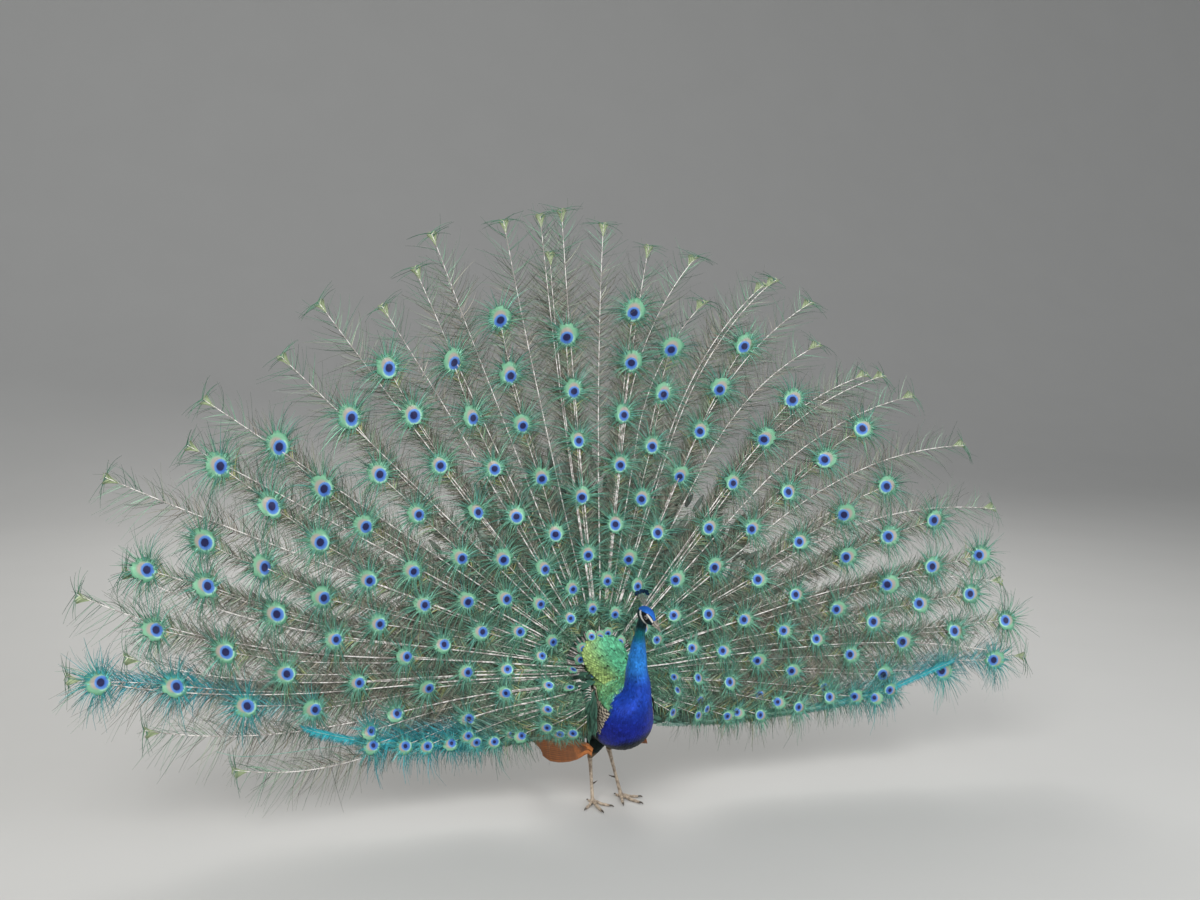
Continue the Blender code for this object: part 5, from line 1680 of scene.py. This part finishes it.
def makeTail():
    up, forward = leaning(tail["lean"])
    order, t = np.arange(tail["count"]), np.linspace(0.0, 1.0, 16)
    turn = np.radians(np.linspace(-tail["halfSpread"], tail["halfSpread"], len(order)))
    radius = mix(tail["root"], tail["length"], t)[:, None]
    level = (0.0008 * (order % 2) + 0.0006 * np.abs(order - len(order) / 2 + 0.5))[:, None, None]
    way = (fanSide * np.sin(turn)[:, None] + up * np.cos(turn)[:, None])[:, None]
    path = np.array(tail["pivot"]) + rootShift + way * radius + forward * (tail["cup"] * radius ** 2 - level)
    widths = tail["halfWidth"] * quillWidths(0.35, 1.0, 0.35, t, 0.5, 0.90)
    tint = varied(np.broadcast_to(tail["tint"], (len(order), 3)), 0.12)
    out = np.broadcast_to(-forward, (len(order), 3))
    uv = np.stack((0.5 + turn / 6.0, np.full(len(order), 0.5)), -1)
    vanes = strips(path, out, widths, 3.0, 5, 0.06)
    part = bladePart(vanes, uv, 0.02, tint=tint, value=random.random(len(order)))
    makeBlades("tailVanes", [part], quillFinish, "tail_feathers", ("tail",))
    shafts = tubes(path + out[:, None] * 0.0012, mix(*tail["shaft"], t), 5)
    part = bladePart(shafts, uv, value=random.random(len(order)))
    makeBlades("tailShafts", [part], shaftFinish, "tail_feathers", closed=True)


makeTail()
print("wings and tail made")


# scaly legs, feet, claws and spurs

# for each toe its turn from the heading, length and girth
toes = {"mid": (0.0, 0.070, 1.05), "inner": (44.0, 0.052, 0.95), "outer": (-46.0, 0.054, 0.95),
        "rear": (168.0, 0.022, 0.8)}
foot = {"shank": (0.0066, 0.0078, 0.0060, 0.0048, 0.0053, 0.0066), "shankPlates": 30, "toeRadius": 0.0043,
        "toe": (1.15, 1.05, 1.0, 0.98, 0.80), "plate": 0.0032, "claw": (0.66, 0.56, 0.32, 0.08),
        "clawLine": ((0.0, 0.0), (0.0065, 0.0012), (0.0120, 0.0002), (0.0152, -0.0024)),
        "spurLine": ((0.0, 0.0), (0.007, 0.0006), (0.0135, 0.0022), (0.0195, 0.0046)),
        "spur": (0.0034, 0.0005)}


# tube of small plates, each a step thicker at its end
def scaleRings(path, radii, plates, depth, sides=18):
    share = np.linspace(0.0, 1.0, len(path))
    return tubes(path[None], radii * (1.0 + depth * ((share * plates) % 1.0 - 0.5)), sides)


# horny claw or spur along a line of distances ahead and heights, from its start
def makeHorn(name, start, way, line, size, radii, knots):
    line = np.stack([start + way * ahead * size + (0.0, 0.0, up) for ahead, up in line])
    horn = tubes(curveThrough(line, np.linspace(0, 3, knots))[None], radii, 12)
    horn[..., 2] = np.maximum(horn[..., 2], 0.0)
    makeBlades(name + "Horn", [bladePart(horn, wholeMap, 0.9)], clawFinish, "horn", (name,), True)


def makeFeet():
    for name, leg in legs.items():
        side = leg["side"]
        knee, ankle, hub = legPoints(leg)[1:]
        shank = [mix(ankle, hub, t) for t in (0.0, 0.12, 0.5, 0.9)]
        line = np.stack((ankle + unit(knee - ankle) * 0.016, *shank, hub + (0.0, 0.0, 0.001)))
        place = np.linspace(0.0, 5.0, 132)
        radii = curveThrough(np.array(foot["shank"])[:, None], place)[:, 0]
        blocks = [scaleRings(curveThrough(line, place), radii, foot["shankPlates"], 0.10)]
        heights = np.linspace(0.006, -0.0065, 10)[:, None]
        pad = 0.0088 * np.sqrt(np.maximum(0.05, 1 - np.linspace(-0.9, 0.9, 10) ** 2))
        blocks.append(scaleRings(hub + heights * (0.0, 0.0, 1.0), pad, 1, 0.0))
        for toe, (turn, length, girth) in toes.items():
            angle = math.radians(leg["heading"] + side * turn)
            way = np.array((math.sin(angle), -math.cos(angle), 0.0))
            radius = foot["toeRadius"] * girth
            knots = hub + way * length * np.array((0.0, 0.25, 0.5, 0.78, 1.0))[:, None]
            knots[:, 2] = hub[2] - 0.001, hub[2] - 0.0015, radius * 1.12, radius - 0.0002, radius * 0.92
            place = np.linspace(0.0, 4.0, 60)
            joints = np.cos(place * fullTurn * (0.5 if toe == "rear" else 1.0))
            girths = radius * curveThrough(np.array(foot["toe"])[:, None], place)[:, 0]
            girths = girths * (1.0 + 0.07 * joints)
            blocks.append(scaleRings(curveThrough(knots, place), girths, int(length / foot["plate"]), 0.12))
            radii = radius * np.interp(np.linspace(0, 1, 16), (0, 0.4, 0.8, 1), foot["claw"])
            claw, size = "claw_%s_%s" % (toe, name), 0.8 if toe == "rear" else 1.0
            makeHorn(claw, knots[-1] - way * 0.0015, way, foot["clawLine"], size, radii, 16)
        parts = []
        for k, points in enumerate(blocks):
            points[..., 2] = np.maximum(points[..., 2], 0.0)
            parts.append(bladePart(points, np.array([[0.1 + 0.16 * k, 0.5]]), 0.14))
        bones = "shank_" + name, "foot_" + name
        makeBlades("scalyLeg_" + name, parts, legFinish, "leg_scales", bones, True)
        inward = unit(np.array((-side, 0.45, 0.0)))
        radii = np.linspace(*foot["spur"], 14)
        start = mix(ankle, hub, 0.62) + inward * 0.0040
        makeHorn("spur_" + name, start, inward, foot["spurLine"], 1.0, radii, 14)


makeFeet()
print("legs made")


# floor, light and camera

studio = {"width": 60.0, "front": -30.0, "bend": 5.0, "round": 6.0, "top": 30.0, "colour": (0.56, 0.56, 0.55),
          "sky": (0.50, 0.51, 0.52, 1.0), "skyStrength": 0.75, "middle": (0.0, 0.0, 0.75)}
# place, size, power and colour of each lamp
lamps = {"key": ((-2.6, -4.0, 4.6), 3.0, 260.0, (1.0, 0.98, 0.95)),
         "fill": ((3.8, -3.2, 2.4), 3.5, 90.0, (0.94, 0.97, 1.0)),
         "back": ((1.0, 4.0, 4.2), 3.0, 150.0, (1.0, 0.98, 0.94))}
view = {"bearing": 22.0, "height": 1.545, "distance": 3.997, "down": 7.0, "roll": 2.0, "aside": -0.8218,
        "lens": 42.0}


def makeStudio():
    turn = np.linspace(0.0, math.pi / 2, 24)
    y = np.concatenate(((studio["front"],), studio["bend"] + studio["round"] * np.sin(turn)))
    z = np.concatenate(((0.0,), studio["round"] * (1.0 - np.cos(turn))))
    y, z = np.append(y, y[-1]), np.append(z, studio["top"])
    x = studio["width"] * np.array((-0.5, 0.5))
    sweep = np.stack(np.broadcast_arrays(x[None], y[:, None], z[:, None]), -1)
    nodes = newMaterial("paleFloor", 0.80)
    darker = [part * 0.95 for part in studio["colour"]]
    floorFinish = nodes.paint(nodes.blend(studio["colour"], darker, nodes.noise(2.0, 3.0)))
    makePiece("floor", sweep, gridFaces(1, len(y), 2), floorFinish)
    world = bpy.data.worlds.new("studio")
    world.use_nodes = True
    world.node_tree.nodes["Background"].inputs["Color"].default_value = studio["sky"]
    world.node_tree.nodes["Background"].inputs["Strength"].default_value = studio["skyStrength"]
    bpy.context.scene.world = world
    for name, (place, size, power, colour) in lamps.items():
        light = bpy.data.lights.new(name, "AREA")
        light.size = size
        light.energy = power
        light.color = colour
        lamp = bpy.data.objects.new(name, light)
        lamp.location = place
        lamp.rotation_euler = (Vector(studio["middle"]) - Vector(place)).to_track_quat("-Z", "Y").to_euler()
        bpy.context.scene.collection.objects.link(lamp)


def makeCamera():
    bearing, down, roll, aside = (math.radians(view[key]) for key in ("bearing", "down", "roll", "aside"))
    back = Vector((-math.sin(bearing), -math.cos(bearing), 0.0))
    place = back * view["distance"] + Vector((0.0, 0.0, view["height"])) + Vector(rootShift)
    level = -back
    right = level.cross(Vector((0.0, 0.0, 1.0)))
    level = level * math.cos(aside) + right * math.sin(aside)
    right = level.cross(Vector((0.0, 0.0, 1.0))).normalized()
    ahead = level * math.cos(down) - Vector((0.0, 0.0, math.sin(down)))
    up = right.cross(ahead)
    turnedRight = right * math.cos(roll) + up * math.sin(roll)
    turnedUp = up * math.cos(roll) - right * math.sin(roll)
    lens = bpy.data.cameras.new("camera")
    lens.lens = view["lens"]
    lens.sensor_width = 36.0
    camera = bpy.data.objects.new("camera", lens)
    axes = [(turnedRight[i], turnedUp[i], -ahead[i], place[i]) for i in range(3)]
    camera.matrix_world = Matrix(axes + [(0.0, 0.0, 0.0, 1.0)])
    bpy.context.scene.collection.objects.link(camera)
    bpy.context.scene.camera = camera


makeStudio()
makeCamera()
bpy.context.scene.view_settings.view_transform = "Standard"
print("studio and camera made")
